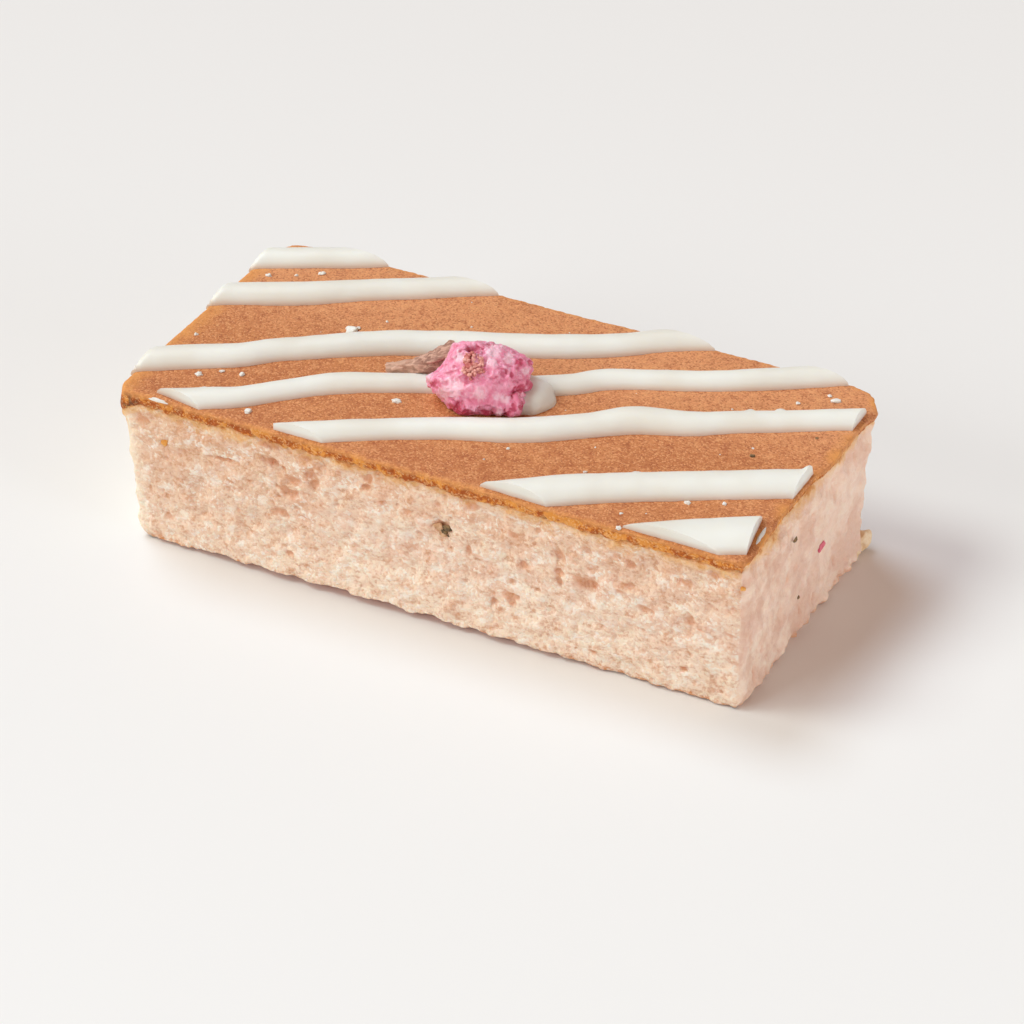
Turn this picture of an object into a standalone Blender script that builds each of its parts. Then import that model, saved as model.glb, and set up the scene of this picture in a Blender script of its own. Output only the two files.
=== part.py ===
"""Sakura cheesecake: a cut bar of pink, open-crumbed cheesecake with a browned top.

Seven lines of white chocolate run across the top at a slant, with a blob of the same that
holds one salted cherry blossom. The left end was baked against the tin, and the other three
sides are knife cuts. Metres, +Z up, with the origin at the bottom centre.
"""

import math
import random

import bmesh
import bpy
from mathutils import Matrix, Vector, noise

MM = 0.001

# The bar of cake
LENGTH = 100 * MM
WIDTH = 49 * MM
HEIGHT = 25.2 * MM
CRUST = 1.1 * MM
CRUST_JUT = 0.35 * MM
# The upright corners that are worn round: (end of the bar, flank of it, radius)
CORNERS = ((1, 1, 7.2 * MM), (-1, 1, 4.5 * MM), (-1, -1, 2.0 * MM))
END_LEAN = 2.2 * MM
RELIEF_STEP = 1.9 * MM
CRAG = 0.4 * MM

# The end baked against the tin: how far its wall lies inside the bar's end, at heights from the floor
TIN_WALL = (
    (0.0, 1.9),
    (0.8, 1.0),
    (2.2, 0.6),
    (4.0, 0.45),
    (12.0, 0.1),
    (19.2, -0.35),
    (20.1, -1.1),
    (22.2, -1.0),
    (24.0, -0.8),
    (24.7, -0.5),
    (25.2, -0.15),
)
TIN_WALL_REACH = 14 * MM
TIN_BELLY = 0.25 * MM

# How far the top edge of the right end stands out or is crumbled back: (y, distance)
RIGHT_EDGE = (
    (-24.5, 0.1),
    (-21.0, -0.1),
    (-15.5, -0.7),
    (-10.0, -1.1),
    (0.0, -1.3),
    (2.0, -0.6),
    (5.0, -0.35),
    (9.0, -0.6),
    (13.0, -0.8),
    (17.0, -0.7),
    (19.5, 0.2),
    (24.5, 0.0),
)
RIGHT_EDGE_DEPTH = 4 * MM

# Pores in the cut crumb: how many on each cut side, and the least and most radius
PORES = {"front": 46, "right": 16, "back": 34}
PORE_RADIUS = (1.6 * MM, 3.2 * MM)
PORE_DEPTH = 0.42
PORE_SPREAD = 0.42

# The white chocolate lines. They run at a slant to the bar: "along" is measured on that
# slant from the bar's centre, and "across" square to it, towards the back. Each line is its
# height as a share of its half-width, and (along, across, half-width) where it bends.
SLANT = math.radians(27)
LINES = (
    (
        0.80,
        (
            (-46, 38.2, 2.65),
            (-30, 38.4, 2.65),
            (-12, 38.9, 2.46),
        ),
    ),
    (
        0.80,
        (
            (-52, 26.7, 2.75),
            (-40, 27.3, 2.86),
            (-30, 27.4, 2.89),
            (-16, 28.9, 2.61),
            (8, 30.6, 2.41),
        ),
    ),
    (
        0.80,
        (
            (-62, 7.2, 2.89),
            (-48, 8.6, 2.88),
            (-39, 9.4, 2.76),
            (-32, 11, 2.72),
            (-15, 12.7, 3),
            (8, 11.8, 2.87),
            (18, 12.5, 2.69),
            (27, 13.7, 2.66),
            (42, 13.5, 2.46),
        ),
    ),
    (
        0.85,
        (
            (-58, -3.4, 2.42),
            (-44, -2.8, 2.43),
            (-38, -2.3, 2.28),
            (-32, -0.6, 2.35),
            (-24, 1.3, 2.41),
            (-14, 1.5, 2.25),
            (-4, 0.8, 2.23),
            (9, 0.9, 2.39),
            (16, 2.4, 2.39),
            (31, 2, 2.38),
            (42, 2.9, 2.5),
            (58, 4.8, 2.51),
        ),
    ),
    (
        0.85,
        (
            (-42, -13, 2.4),
            (-32, -12.6, 2.5),
            (-22, -11.6, 2.44),
            (-9, -11, 2.48),
            (3, -11.5, 2.75),
            (12, -10.3, 2.68),
            (19, -9, 3.05),
            (27, -9.8, 2.72),
            (36, -9.2, 2.42),
            (62, -8.1, 2.4),
        ),
    ),
    (
        0.72,
        (
            (-8, -29.3, 2.93),
            (2, -28, 3.23),
            (10, -27, 3.35),
            (19, -26.4, 3.29),
            (28, -26, 3.29),
            (56, -24.8, 3.09),
        ),
    ),
    (
        0.52,
        (
            (8, -41.4, 3.94),
            (17, -39.9, 4),
            (26, -38.7, 4.14),
            (36, -38.2, 4.35),
            (54, -37.9, 4.45),
        ),
    ),
)
LINE_STEP = 3 * MM
LINE_SINK = 0.25 * MM
LINE_ROOT = 0.8 * MM
TRIM_INSET = 0.3 * MM
TRIM_ENDS = (-51.0 * MM, 49.5 * MM)

# The blob of white chocolate under the blossom: where it lies, and its half sizes
BLOB_AT = (3.4, -2.2)
BLOB_SIZE = (4.6 * MM, 4.7 * MM, 3.3 * MM)

# The salted cherry blossom: where its middle lies, its half sizes and its petals
BLOSSOM_AT = (-3.2, -2.3)
BLOSSOM_SIZE = (7.3 * MM, 5.9 * MM, 4.0 * MM)
BLOSSOM_RISE = 3.7 * MM
FACE_AT = (-0.8, -0.8)
PETAL_THICK = 0.8 * MM
PETAL_RINGS = (
    {"count": 7, "reach": 1.09, "lift": 0.1 * MM, "spread": 0.62, "turn": 0.2},
    {"count": 6, "reach": 0.78, "lift": 0.8 * MM, "spread": 0.60, "turn": 0.75},
)
PETAL_START = 0.16
RUFFLE = 0.55 * MM
GAP = 0.3 * MM

# The calyx and its stub of stem: (along, across, height over the crust, radius)
CALYX = (
    (-4.4, 1.0, 3.6, 2.6),
    (-7.6, 3.2, 3.5, 2.4),
    (-10.2, 3.9, 2.9, 2.0),
    (-12.6, 4.3, 2.0, 1.3),
    (-14.8, 4.5, 1.5, 0.8),
    (-16.8, 4.6, 1.2, 0.6),
)


def clear_scene():
    for old in list(bpy.data.objects):
        bpy.data.objects.remove(old, do_unlink=True)


def make_material(name, colour, roughness):
    material = bpy.data.materials.new(name)
    material.use_nodes = True
    shader = material.node_tree.nodes["Principled BSDF"]
    shader.inputs["Base Color"].default_value = (*colour, 1)
    shader.inputs["Roughness"].default_value = roughness
    shader.inputs["Metallic"].default_value = 0
    return material


def make_collection(name, helpers=False):
    group = bpy.data.collections.new(name)
    bpy.context.scene.collection.children.link(group)
    group.hide_render = helpers
    return group


def make_object(name, bm, group, material):
    """Turns a bmesh into an object with outward faces."""
    bmesh.ops.recalc_face_normals(bm, faces=bm.faces)
    mesh = bpy.data.meshes.new(name)
    bm.to_mesh(mesh)
    bm.free()
    mesh.materials.append(material)
    obj = bpy.data.objects.new(name, mesh)
    group.objects.link(obj)
    if group.hide_render:
        obj.hide_render = True
        obj.display_type = "WIRE"
    return obj


def apply_modifiers(obj):
    """Replaces the object's mesh by what its modifiers make of it."""
    bpy.context.view_layer.update()
    graph = bpy.context.evaluated_depsgraph_get()
    finished = bpy.data.meshes.new_from_object(obj.evaluated_get(graph))
    finished.name = obj.name
    obj.modifiers.clear()
    obj.data = finished


def boolean(obj, operation, other):
    """Joins, cuts or trims the object with another one, or with a whole collection."""
    modifier = obj.modifiers.new(operation.title(), "BOOLEAN")
    modifier.operation = operation
    modifier.solver = "EXACT"
    if isinstance(other, bpy.types.Collection):
        modifier.operand_type = "COLLECTION"
        modifier.collection = other
    else:
        modifier.object = other
    apply_modifiers(obj)


def empty_out(group):
    for old in list(group.objects):
        bpy.data.objects.remove(old, do_unlink=True)


def on_top(along, across, height=0.0):
    """A point over the crust, from millimetres along and across the slant of the lines."""
    x = along * math.cos(SLANT) - across * math.sin(SLANT)
    y = along * math.sin(SLANT) + across * math.cos(SLANT)
    return Vector((x * MM, y * MM, HEIGHT + height))


def smooth_run(points, step):
    """Points about a step apart on a smooth curve through the given ones (Catmull-Rom)."""
    ends = [Vector(point) for point in points]
    padded = [2 * ends[0] - ends[1], *ends, 2 * ends[-1] - ends[-2]]
    run = []
    for a, b, c, d in zip(padded, padded[1:], padded[2:], padded[3:]):
        count = max(2, round((c - b).length / step))
        for i in range(count):
            t = i / count
            run.append(
                0.5 * (2 * b + (c - a) * t + (2 * a - 5 * b + 4 * c - d) * t**2 + (3 * b - a - 3 * c + d) * t**3)
            )
    return [*run, ends[-1]]


def make_tube(name, centres, radii, group, material, flatten=1.0, thicker=0.0):
    """A closed tube through the centres, flattened in height about its first centre."""
    curve = bpy.data.curves.new(name, "CURVE")
    curve.dimensions = "3D"
    curve.bevel_depth = 1.0
    curve.bevel_resolution = 3
    curve.use_fill_caps = True
    spline = curve.splines.new("POLY")
    spline.points.add(len(centres) - 1)
    for point, centre, radius in zip(spline.points, centres, radii):
        point.co = (*centre, 1)
        point.radius = radius + thicker
    guide = bpy.data.objects.new(name, curve)
    group.objects.link(guide)
    bpy.context.view_layer.update()
    graph = bpy.context.evaluated_depsgraph_get()
    bm = bmesh.new()
    mesh = bpy.data.meshes.new_from_object(guide.evaluated_get(graph))
    bm.from_mesh(mesh)
    bpy.data.meshes.remove(mesh)
    bpy.data.objects.remove(guide, do_unlink=True)
    bpy.data.curves.remove(curve)
    bmesh.ops.remove_doubles(bm, verts=bm.verts, dist=0.01 * MM)
    middle = centres[0].z
    for vert in bm.verts:
        vert.co.z = middle + (vert.co.z - middle) * flatten
    return make_object(name, bm, group, material)


def along_table(table, value):
    """The distance that a table of (place, distance) gives at a place between its rows."""
    for (low, first), (high, second) in zip(table, table[1:]):
        if value <= high * MM:
            share = max(0.0, (value - low * MM) / ((high - low) * MM))
            return (first + (second - first) * share) * MM
    return table[-1][1] * MM


def make_pores():
    """Random pores in the three cut sides, more of them in the upper half."""
    draw = random.Random(4)
    pores = []
    for side, count in PORES.items():
        for _ in range(count):
            share = draw.uniform(-PORE_SPREAD, PORE_SPREAD)
            z = HEIGHT * (0.1 + 0.8 * math.sqrt(draw.random()))
            radius = draw.uniform(*PORE_RADIUS)
            if side == "right":
                centre = Vector((LENGTH / 2, share * WIDTH, z))
            else:
                centre = Vector((share * LENGTH, WIDTH / 2 * (1 if side == "back" else -1), z))
            pores.append((centre, radius))
    return pores


def relief(point, pores):
    """How far the side stands out (or in, below zero) at a point of the crumb or the crust."""
    rough = noise.noise(point / (3 * MM)) + 0.6 * noise.noise(point / (1.3 * MM))
    if point.z > HEIGHT - 1.2 * CRUST:
        return CRUST_JUT + 0.35 * CRAG * rough
    depth = CRAG * rough
    for centre, radius in pores:
        away = (point - centre).length / radius
        if away < 1:
            depth -= PORE_DEPTH * radius * (1 - away * away)
    return depth


def slice_sides(bm, sides, axis, places):
    """Cuts the upright faces that look along one of the given directions, square to the axis."""
    square = Vector([float(i == axis) for i in range(3)])
    for place in places:
        faces = [f for f in bm.faces if any(f.normal.dot(side) > 0.72 for side in sides)]
        edges = {edge for face in faces for edge in face.edges}
        verts = {vert for face in faces for vert in face.verts}
        bmesh.ops.bisect_plane(
            bm,
            geom=[*verts, *edges, *faces],
            dist=0.01 * MM,
            plane_co=square * place,
            plane_no=square,
        )


def even_places(low, high, step):
    count = round((high - low) / step)
    return [low + (high - low) * i / count for i in range(1, count)]


def make_bar(group, material):
    """The bar: a block with worn corners, its sides sliced fine enough to carry relief."""
    bm = bmesh.new()
    bmesh.ops.create_cube(bm, size=1)
    bmesh.ops.transform(bm, matrix=Matrix.Diagonal((LENGTH, WIDTH, HEIGHT, 1)), verts=bm.verts)
    bmesh.ops.translate(bm, vec=(0, 0, HEIGHT / 2), verts=bm.verts)
    for end, flank, radius in CORNERS:
        worn = [e for e in bm.edges if all(v.co.x * end > 0.4 * LENGTH and v.co.y * flank > 0 for v in e.verts)]
        worn = [e for e in worn if abs(e.verts[0].co.z - e.verts[1].co.z) > 0.5 * HEIGHT]
        bmesh.ops.bevel(
            bm, geom=worn, offset=radius, segments=4, profile=0.5, affect="EDGES", material=-1
        )
    bm.normal_update()
    right, front, back, left = Vector((1, 0, 0)), Vector((0, -1, 0)), Vector((0, 1, 0)), Vector((-1, 0, 0))
    lip_levels = [height * MM for height, _ in TIN_WALL[1:-1] if height != 12.0]
    levels = lip_levels + even_places(4 * MM, 19.2 * MM, RELIEF_STEP)
    slice_sides(bm, (front, back), 0, even_places(-LENGTH / 2, LENGTH / 2, RELIEF_STEP))
    slice_sides(bm, (right,), 1, even_places(-WIDTH / 2, WIDTH / 2, RELIEF_STEP))
    slice_sides(bm, (left,), 1, even_places(-WIDTH / 2, WIDTH / 2, 2 * RELIEF_STEP))
    slice_sides(bm, (front, back, right, left), 2, levels)

    pores = make_pores()
    moves = []
    for vert in bm.verts:
        out = Vector()
        for face in vert.link_faces:
            if abs(face.normal.z) < 0.5:
                out += face.normal
        out.normalize()
        x, y, z = vert.co
        baked = x < -LENGTH / 2 + 0.01 * MM
        move = out * relief(vert.co, pores) * (0.25 if baked else 1)
        move.z = 0
        # the right end leans out towards its back top corner
        right_share = max(0.0, x / LENGTH + 0.5)
        move.x += right_share * (y / WIDTH + 0.5) * END_LEAN * (z / HEIGHT - 0.3)
        wear = max(0.0, 1 - (HEIGHT - z) / RIGHT_EDGE_DEPTH)
        move.x += right_share**8 * wear * along_table(RIGHT_EDGE, y)
        # the left end follows the tin
        left_share = max(0.0, 1 - (x + LENGTH / 2) / TIN_WALL_REACH)
        belly = TIN_BELLY * (1 - (2 * y / WIDTH) ** 6)
        move.x += left_share * (along_table(TIN_WALL, z) - belly)
        moves.append((vert, move))
    for vert, move in moves:
        vert.co += move
    return make_object("cake", bm, group, material)


def make_trim(group, material):
    """The block that the lines are cut to: the bar's top, a little inside its edges."""
    start, end = TRIM_ENDS
    size = Vector((end - start, WIDTH - 2 * TRIM_INSET, 6 * MM))
    bm = bmesh.new()
    bmesh.ops.create_cube(bm, size=1)
    bmesh.ops.transform(bm, matrix=Matrix.Diagonal((*size, 1)), verts=bm.verts)
    middle = Vector(((start + end) / 2, 0, HEIGHT - LINE_ROOT + size.z / 2))
    bmesh.ops.translate(bm, vec=middle, verts=bm.verts)
    return make_object("line_trim", bm, group, material)


def make_line(index, group, material, thicker=0.0):
    """One white chocolate line, thicker by a margin where it cuts a seat."""
    rise, points = LINES[index]
    run = smooth_run(points, LINE_STEP / MM)
    centres = [on_top(along, across, -LINE_SINK) for along, across, _ in run]
    radii = [half * MM for _, _, half in run]
    return make_tube(f"line_{index + 1}", centres, radii, group, material, rise, thicker)


def make_ball(name, centre, size, group, material, rings=10):
    bm = bmesh.new()
    bmesh.ops.create_uvsphere(bm, u_segments=2 * rings, v_segments=rings, radius=1)
    turn = Matrix.Rotation(SLANT, 4, "Z")
    place = Matrix.Translation(centre) @ turn @ Matrix.Diagonal((*size, 1))
    bmesh.ops.transform(bm, matrix=place, verts=bm.verts)
    return make_object(name, bm, group, material)


def make_blob(group, material, thicker=0.0):
    size = [half + thicker for half in BLOB_SIZE]
    return make_ball("blob", on_top(*BLOB_AT, -LINE_SINK), size, group, material)


def dome_height(spread):
    """Height of the blossom's petals over its middle, at a share of the way out to its edge."""
    return BLOSSOM_SIZE[2] * (1 - 1.35 * spread**2.4)


def make_petal(name, ring, place, group, material):
    """One petal: a thin sheet that starts by the stamens and drapes to a ruffled edge."""
    bm = bmesh.new()
    bmesh.ops.create_grid(bm, x_segments=6, y_segments=6, size=1)
    middle = ring["turn"] + math.tau * place / ring["count"]
    for vert in bm.verts:
        side, out = vert.co.x, (vert.co.y + 1) / 2
        width = ring["spread"] * (0.55 + 0.75 * math.sin(math.pi * min(out, 0.9)))
        angle = middle + side * width
        notch = 0.1 * (1 - abs(side)) * out
        reach = PETAL_START + (ring["reach"] - PETAL_START) * out * (1 - 0.12 * side * side - notch)
        wave = math.sin(3.2 * side + 2.1 * place + 4 * ring["turn"]) * out
        face = (1 - min(reach, 1)) * 1.0
        along = FACE_AT[0] * MM * face + BLOSSOM_SIZE[0] * reach * math.cos(angle)
        across = FACE_AT[1] * MM * face + BLOSSOM_SIZE[1] * reach * math.sin(angle)
        height = dome_height(reach) + ring["lift"] + RUFFLE * wave + 0.4 * MM * abs(side) * out
        vert.co = Vector((along, across, height))
    bmesh.ops.recalc_face_normals(bm, faces=bm.faces)
    bmesh.ops.solidify(bm, geom=bm.faces, thickness=PETAL_THICK)
    turn = Matrix.Rotation(SLANT, 4, "Z")
    seat = Matrix.Translation(on_top(*BLOSSOM_AT, BLOSSOM_RISE)) @ turn
    bmesh.ops.transform(bm, matrix=seat, verts=bm.verts)
    return make_object(name, bm, group, material)


def make_calyx(group, material):
    run = smooth_run(CALYX, 1.6)
    centres = [on_top(along, across, height * MM) for along, across, height, _ in run]
    return make_tube("calyx", centres, [radius * MM for *_, radius in run], group, material)


def make_blossom(group, fused, cutters, material, calyx_material):
    """The blossom: a core, two rings of petals and the calyx, joined and cut to its seat."""
    centre = on_top(*BLOSSOM_AT, BLOSSOM_RISE)
    blossom = make_ball("blossom", centre, BLOSSOM_SIZE, group, material, rings=9)
    for ring in PETAL_RINGS:
        for place in range(ring["count"]):
            make_petal(f"petal_{ring['count']}_{place}", ring, place, fused, material)
    make_calyx(fused, calyx_material)
    boolean(blossom, "UNION", fused)
    empty_out(fused)

    slab = bmesh.new()
    bmesh.ops.create_cube(slab, size=1)
    bmesh.ops.transform(slab, matrix=Matrix.Diagonal((LENGTH, WIDTH, 8 * MM, 1)), verts=slab.verts)
    bmesh.ops.translate(slab, vec=(0, 0, HEIGHT + GAP - 4 * MM), verts=slab.verts)
    make_object("seat_slab", slab, cutters, material)
    for index in (2, 3, 4):
        make_line(index, cutters, material, thicker=GAP / LINES[index][0])
    make_blob(cutters, material, thicker=GAP)
    for cutter in list(cutters.objects):
        boolean(blossom, "DIFFERENCE", cutter)
    empty_out(cutters)
    return blossom


def keep_largest(obj):
    """Drops loose scraps that a cut left behind."""
    bm = bmesh.new()
    bm.from_mesh(obj.data)
    left = set(bm.verts)
    pieces = []
    while left:
        piece, edge_of_piece = set(), {left.pop()}
        while edge_of_piece:
            piece |= edge_of_piece
            edge_of_piece = {e.other_vert(v) for v in edge_of_piece for e in v.link_edges} - piece
        left -= piece
        pieces.append(piece)
    pieces.sort(key=len)
    for scrap in pieces[:-1]:
        bmesh.ops.delete(bm, geom=list(scrap), context="VERTS")
    bm.to_mesh(obj.data)
    bm.free()


def centre_on_floor(objects):
    """Puts the middle of the whole at x = y = 0 and its lowest point on the floor."""
    points = [vert.co for obj in objects for vert in obj.data.vertices]
    low = Vector([min(point[i] for point in points) for i in range(3)])
    high = Vector([max(point[i] for point in points) for i in range(3)])
    shift = Vector((-(low.x + high.x) / 2, -(low.y + high.y) / 2, -low.z))
    for obj in objects:
        obj.data.transform(Matrix.Translation(shift))
    return shift


def main():
    clear_scene()
    crumb = make_material("pink crumb", (0.80, 0.55, 0.43), 0.9)
    chocolate = make_material("white chocolate", (0.86, 0.84, 0.76), 0.45)
    petal = make_material("salted petal", (0.70, 0.14, 0.24), 0.6)
    calyx = make_material("brown calyx", (0.26, 0.15, 0.11), 0.8)

    parts = make_collection("sakura cheesecake")
    cutters = make_collection("cutters", helpers=True)
    fused = make_collection("fused")

    cake = make_bar(parts, crumb)
    trim = make_trim(cutters, chocolate)
    for index in range(len(LINES)):
        boolean(make_line(index, fused, chocolate), "INTERSECT", trim)
    make_blob(fused, chocolate)
    boolean(cake, "UNION", fused)
    empty_out(fused)
    empty_out(cutters)

    blossom = make_blossom(parts, fused, cutters, petal, calyx)
    keep_largest(blossom)
    for group in (fused, cutters):
        bpy.data.collections.remove(group)

    shift = centre_on_floor([cake, blossom])
    for obj in (cake, blossom):
        obj.data.shade_smooth()
        obj.data.set_sharp_from_angle(angle=math.radians(35))
        print(obj.name, len(obj.data.polygons), "faces")
    print("moved by", [round(value / MM, 3) for value in shift], "mm")


main()
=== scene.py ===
"""Looks of the sakura cheesecake: the baked crumb, crust, white chocolate and salted blossom.

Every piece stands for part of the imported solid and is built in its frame. Sizes with MM are in
metres, as are those of the lamps, camera and floor; the tables and other sizes are in millimetres.
"""

import math
import random

import bmesh
import bpy
from mathutils import Matrix, Vector, noise
from mathutils.bvhtree import BVHTree


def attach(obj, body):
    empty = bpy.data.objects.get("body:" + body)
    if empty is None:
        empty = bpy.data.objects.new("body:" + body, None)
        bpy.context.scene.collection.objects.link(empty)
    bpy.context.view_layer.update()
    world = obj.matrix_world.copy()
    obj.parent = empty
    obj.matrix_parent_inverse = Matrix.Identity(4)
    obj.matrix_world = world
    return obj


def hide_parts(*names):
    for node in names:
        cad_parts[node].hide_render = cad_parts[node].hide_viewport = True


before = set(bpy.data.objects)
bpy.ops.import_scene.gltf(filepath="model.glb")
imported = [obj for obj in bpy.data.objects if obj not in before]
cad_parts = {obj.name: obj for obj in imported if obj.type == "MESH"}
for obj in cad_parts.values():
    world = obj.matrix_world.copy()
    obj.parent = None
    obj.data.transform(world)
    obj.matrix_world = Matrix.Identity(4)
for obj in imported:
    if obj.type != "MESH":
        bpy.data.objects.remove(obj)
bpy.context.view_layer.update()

MM = 0.001
# Points this near to each other are one
NEGLIGIBLE = 0.001 * MM

# Where the solid's own centring put it
SHIFT = Vector((0.032, 0.002, 0.0)) * MM

# The bar, and the way each of its sides faces
LENGTH = 100 * MM
WIDTH = 49 * MM
HEIGHT = 25.2 * MM
CELL = 0.31 * MM
FACING = {"front": (0, -1, 0), "back": (0, 1, 0), "right": (1, 0, 0), "left": (-1, 0, 0)}

# The upright corners that are worn round: (end of the bar, flank of it, radius)
CORNERS = ((1, 1, 7.2 * MM), (-1, 1, 4.5 * MM), (-1, -1, 2.0 * MM), (1, -1, 1.6 * MM))

# How the left end follows the tin at each height, and how far along the bar that is felt
TIN_WALL = (
    (0.0, 2.9), (0.6, 2.0), (1.5, 1.4), (3.0, 1.05), (8.0, 0.8), (12.0, 0.4), (15.0, 0.1),
    (18.5, -0.25), (19.7, -0.5), (20.1, -1.1), (21.2, -1.05), (22.7, -0.95), (24.0, -0.8),
    (24.7, -0.5), (25.2, -0.15),
)
TIN_WALL_REACH = 14 * MM
TIN_BELLY, TIN_BELLY_FLAT = 0.25 * MM, 6

# The right end leans out above a share of the height, and a little below it. Its top edge
# stands out or is crumbled back: (y, distance)
END_LEAN = 2.2 * MM
LEAN_FROM, LEAN_BELOW = 0.3, 0.4
RIGHT_EDGE = (
    (-24.5, 0.1), (-21.0, -0.1), (-15.5, -0.7), (-10.0, -1.1), (0.0, -1.3), (2.0, -0.6), (5.0, -0.35),
    (9.0, -0.6), (13.0, -0.8), (17.0, -0.7), (19.5, 0.2), (24.5, 0.0),
)
RIGHT_EDGE_DEPTH, RIGHT_EDGE_FADE = 4 * MM, 8

# The crumb's relief, as layers of noise: (height, size of its lumps)
CRAGS = ((0.40, 3.0), (0.24, 1.3))
TIN_GRAIN = (0.05, 0.9)
CUT_GRAIN = ((0.13, 0.9), (0.10, 0.45))
RIGHT_GRAIN = (0.16, 1.5)
RIGHT_STREAKS = 0.05 * MM
STREAK_WIDE, STREAK_TALL = 1.6 * MM, 5 * MM
CORNER_CRUMBLE = (0.35, 1.6)
CORNER_CRUMBLE_REACH = 1.2 * MM
SKIN_WANDER = (0.8, 1.5)
SKIN_REACH, SKIN_FADE = 3.2 * MM, 0.7
# The share of the crags that is left against the tin, and of a cut's grain at the right
TIN_SMOOTHS, RIGHT_SMOOTHS = 0.25, 0.9

# The foot: rounded, ragged, standing out at the left, and a little off the floor in the middle
FOOT_ROUND = 1.6 * MM
RIGHT_FOOT_ROUND = 3.2 * MM
FOOT_TUCK = 0.5 * MM
FOOT_RAGGED = (0.3, 1.1)
RIGHT_FOOT_RAGGED = (0.75, 1.3)
FOOT_BULGE = 0.5 * MM
GAP_AT, GAP_HALF = -9 * MM, 40 * MM
GAP_LEAST = 0.15 * MM
GAP_WANDER, GAP_RAGGED = 4 * MM, 0.6
FOOT_GAP = 1.15 * MM
GAP_DEPTH = 5 * MM
GAP_PUSH, GAP_PUSH_HEIGHT = 1.0 * MM, 8 * MM
UNDERSIDE_SHARP = 4

# The crumb's top, hidden under the crust: how high up it is drawn in, and how far
CRUST_COVER = 0.45 * MM
TOP_TUCK_HEIGHT, TOP_TUCK = 2.5 * MM, 0.85 * MM
RIGHT_TUCK_HEIGHT, RIGHT_TUCK = 1.0 * MM, 0.35 * MM
TUCK_STEEP = 2.2

# The crust: its band down the sides, its hem and its rims, which are (radius, drop)
BAND_DEPTH = 2.0 * MM
BAND_ROWS = 8
RIGHT_BAND_DEPTH = 0.9 * MM
CORNER_BAND, CORNER_BAND_REACH = 2.6 * MM, 4 * MM
CRUST_JUT = 0.45 * MM
JUT_GRAIN = (0.30, 0.9)
JUT_REACH = 1.5 * MM
BAND_TUCK, HEM_TUCK, HEM_FROM = 0.25 * MM, 0.4 * MM, 0.7
HEM = ((0.45, 2.6), (0.45, 0.8))
RIGHT_HEM = 0.3
# How far the band at the left takes the colours of a cut side
LEFT_BAND = 0.6
TOP_SWELL = ((0.15, 11.0), (0.05, 1.3))
# The share of the crumb's crags that the crust follows, and of its jut that the two ends have
CRUST_FOLLOWS, END_JUT = 0.35, 0.3
RIMS = {"front": (0.5, 0.28), "back": (0.6, 0.35), "right": (1.3, 0.55), "left": (1.0, 0.25)}
# How golden the top is at each side: (share, reach); at the right side it is patchy
GLOW = {"left": (0.8, 4.5), "back": (0.8, 1.2), "front": (0.6, 0.8)}
RIGHT_GLOW_REACH = 2.8 * MM
GLOW_PATCH, GLOW_REST, GLOW_SWING = 4 * MM, 0.55, 1.1
# A burnt patch of the crust by the tin, dark in specks
BURNT_AT = Vector((-47.6 * MM, -WIDTH / 2, HEIGHT - 2.6 * MM))
BURNT_REACH = 2.6 * MM
BURNT_GRAIN = 0.6 * MM
BURNT_MOST, BURNT_REST, BURNT_SWING = 1.3, 0.35, 2.2

# The broad dents that the solid has in its cut sides; the depth is a share of the radius, and the
# spread and the heights are shares of the side
DENTS = {"front": 46, "right": 16, "back": 34}
DENT_RADIUS = (1.6 * MM, 3.2 * MM)
DENT_DEPTH = 0.16
DENT_SPREAD = 0.42
DENT_FROM, DENT_SPAN = 0.1, 0.8

# The pores seen in the front: (x, z, half width, half height, depth)
FRONT_PORES = (
    (-43.2, 17.5, 0.7, 0.8, 0.6), (-24.9, 19.3, 1.5, 0.9, 1.2), (-23.1, 19.0, 0.8, 0.5, 0.9),
    (-18.5, 19.1, 1.3, 1.1, 1.2), (-17.9, 17.8, 1.3, 1.0, 1.1), (-22.1, 15.0, 1.9, 1.0, 1.0),
    (-23.7, 11.2, 1.8, 0.9, 0.9), (-22.0, 4.7, 0.9, 0.6, 0.8), (-25.5, 22.3, 1.7, 1.2, 1.1),
    (-33.3, 17.4, 2.3, 0.4, 0.9), (-21.6, 17.2, 1.5, 0.9, 0.9), (-43.3, 5.2, 1.0, 0.8, 0.5),
    (-43.3, 8.6, 0.5, 0.4, 0.5), (-46.0, 20.6, 1.2, 1.0, 0.7), (3.0, 16.5, 2.1, 1.5, 0.9),
    (-9.4, 19.6, 1.1, 0.6, 0.9), (-2.3, 17.8, 0.8, 0.5, 0.8), (7.2, 14.2, 0.7, 1.0, 0.9),
    (7.9, 21.6, 1.5, 0.9, 1.0), (16.1, 14.1, 1.4, 0.7, 0.9), (11.3, 6.5, 0.6, 0.8, 1.1),
    (13.9, 8.3, 1.9, 0.9, 0.7), (14.3, 7.2, 1.0, 0.7, 0.9), (21.4, 14.5, 0.9, 0.8, 0.9),
    (-6.8, 17.9, 0.8, 0.5, 0.7), (14.4, 18.8, 1.2, 0.7, 0.7), (21.6, 17.4, 1.3, 1.2, 0.9),
    (21.7, 13.3, 0.8, 0.9, 0.9), (25.9, 13.9, 2.4, 1.5, 0.8), (32.3, 15.4, 1.5, 0.8, 0.9),
    (32.7, 19.3, 1.1, 0.8, 0.8), (41.0, 19.0, 1.4, 0.8, 0.7), (45.5, 21.7, 1.4, 1.0, 0.8),
    (34.9, 12.4, 1.2, 0.9, 0.7), (42.0, 12.9, 1.0, 1.4, 0.6), (41.1, 4.4, 0.6, 0.5, 0.8),
    (27.2, 2.8, 0.9, 0.4, 0.6),
)
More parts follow.
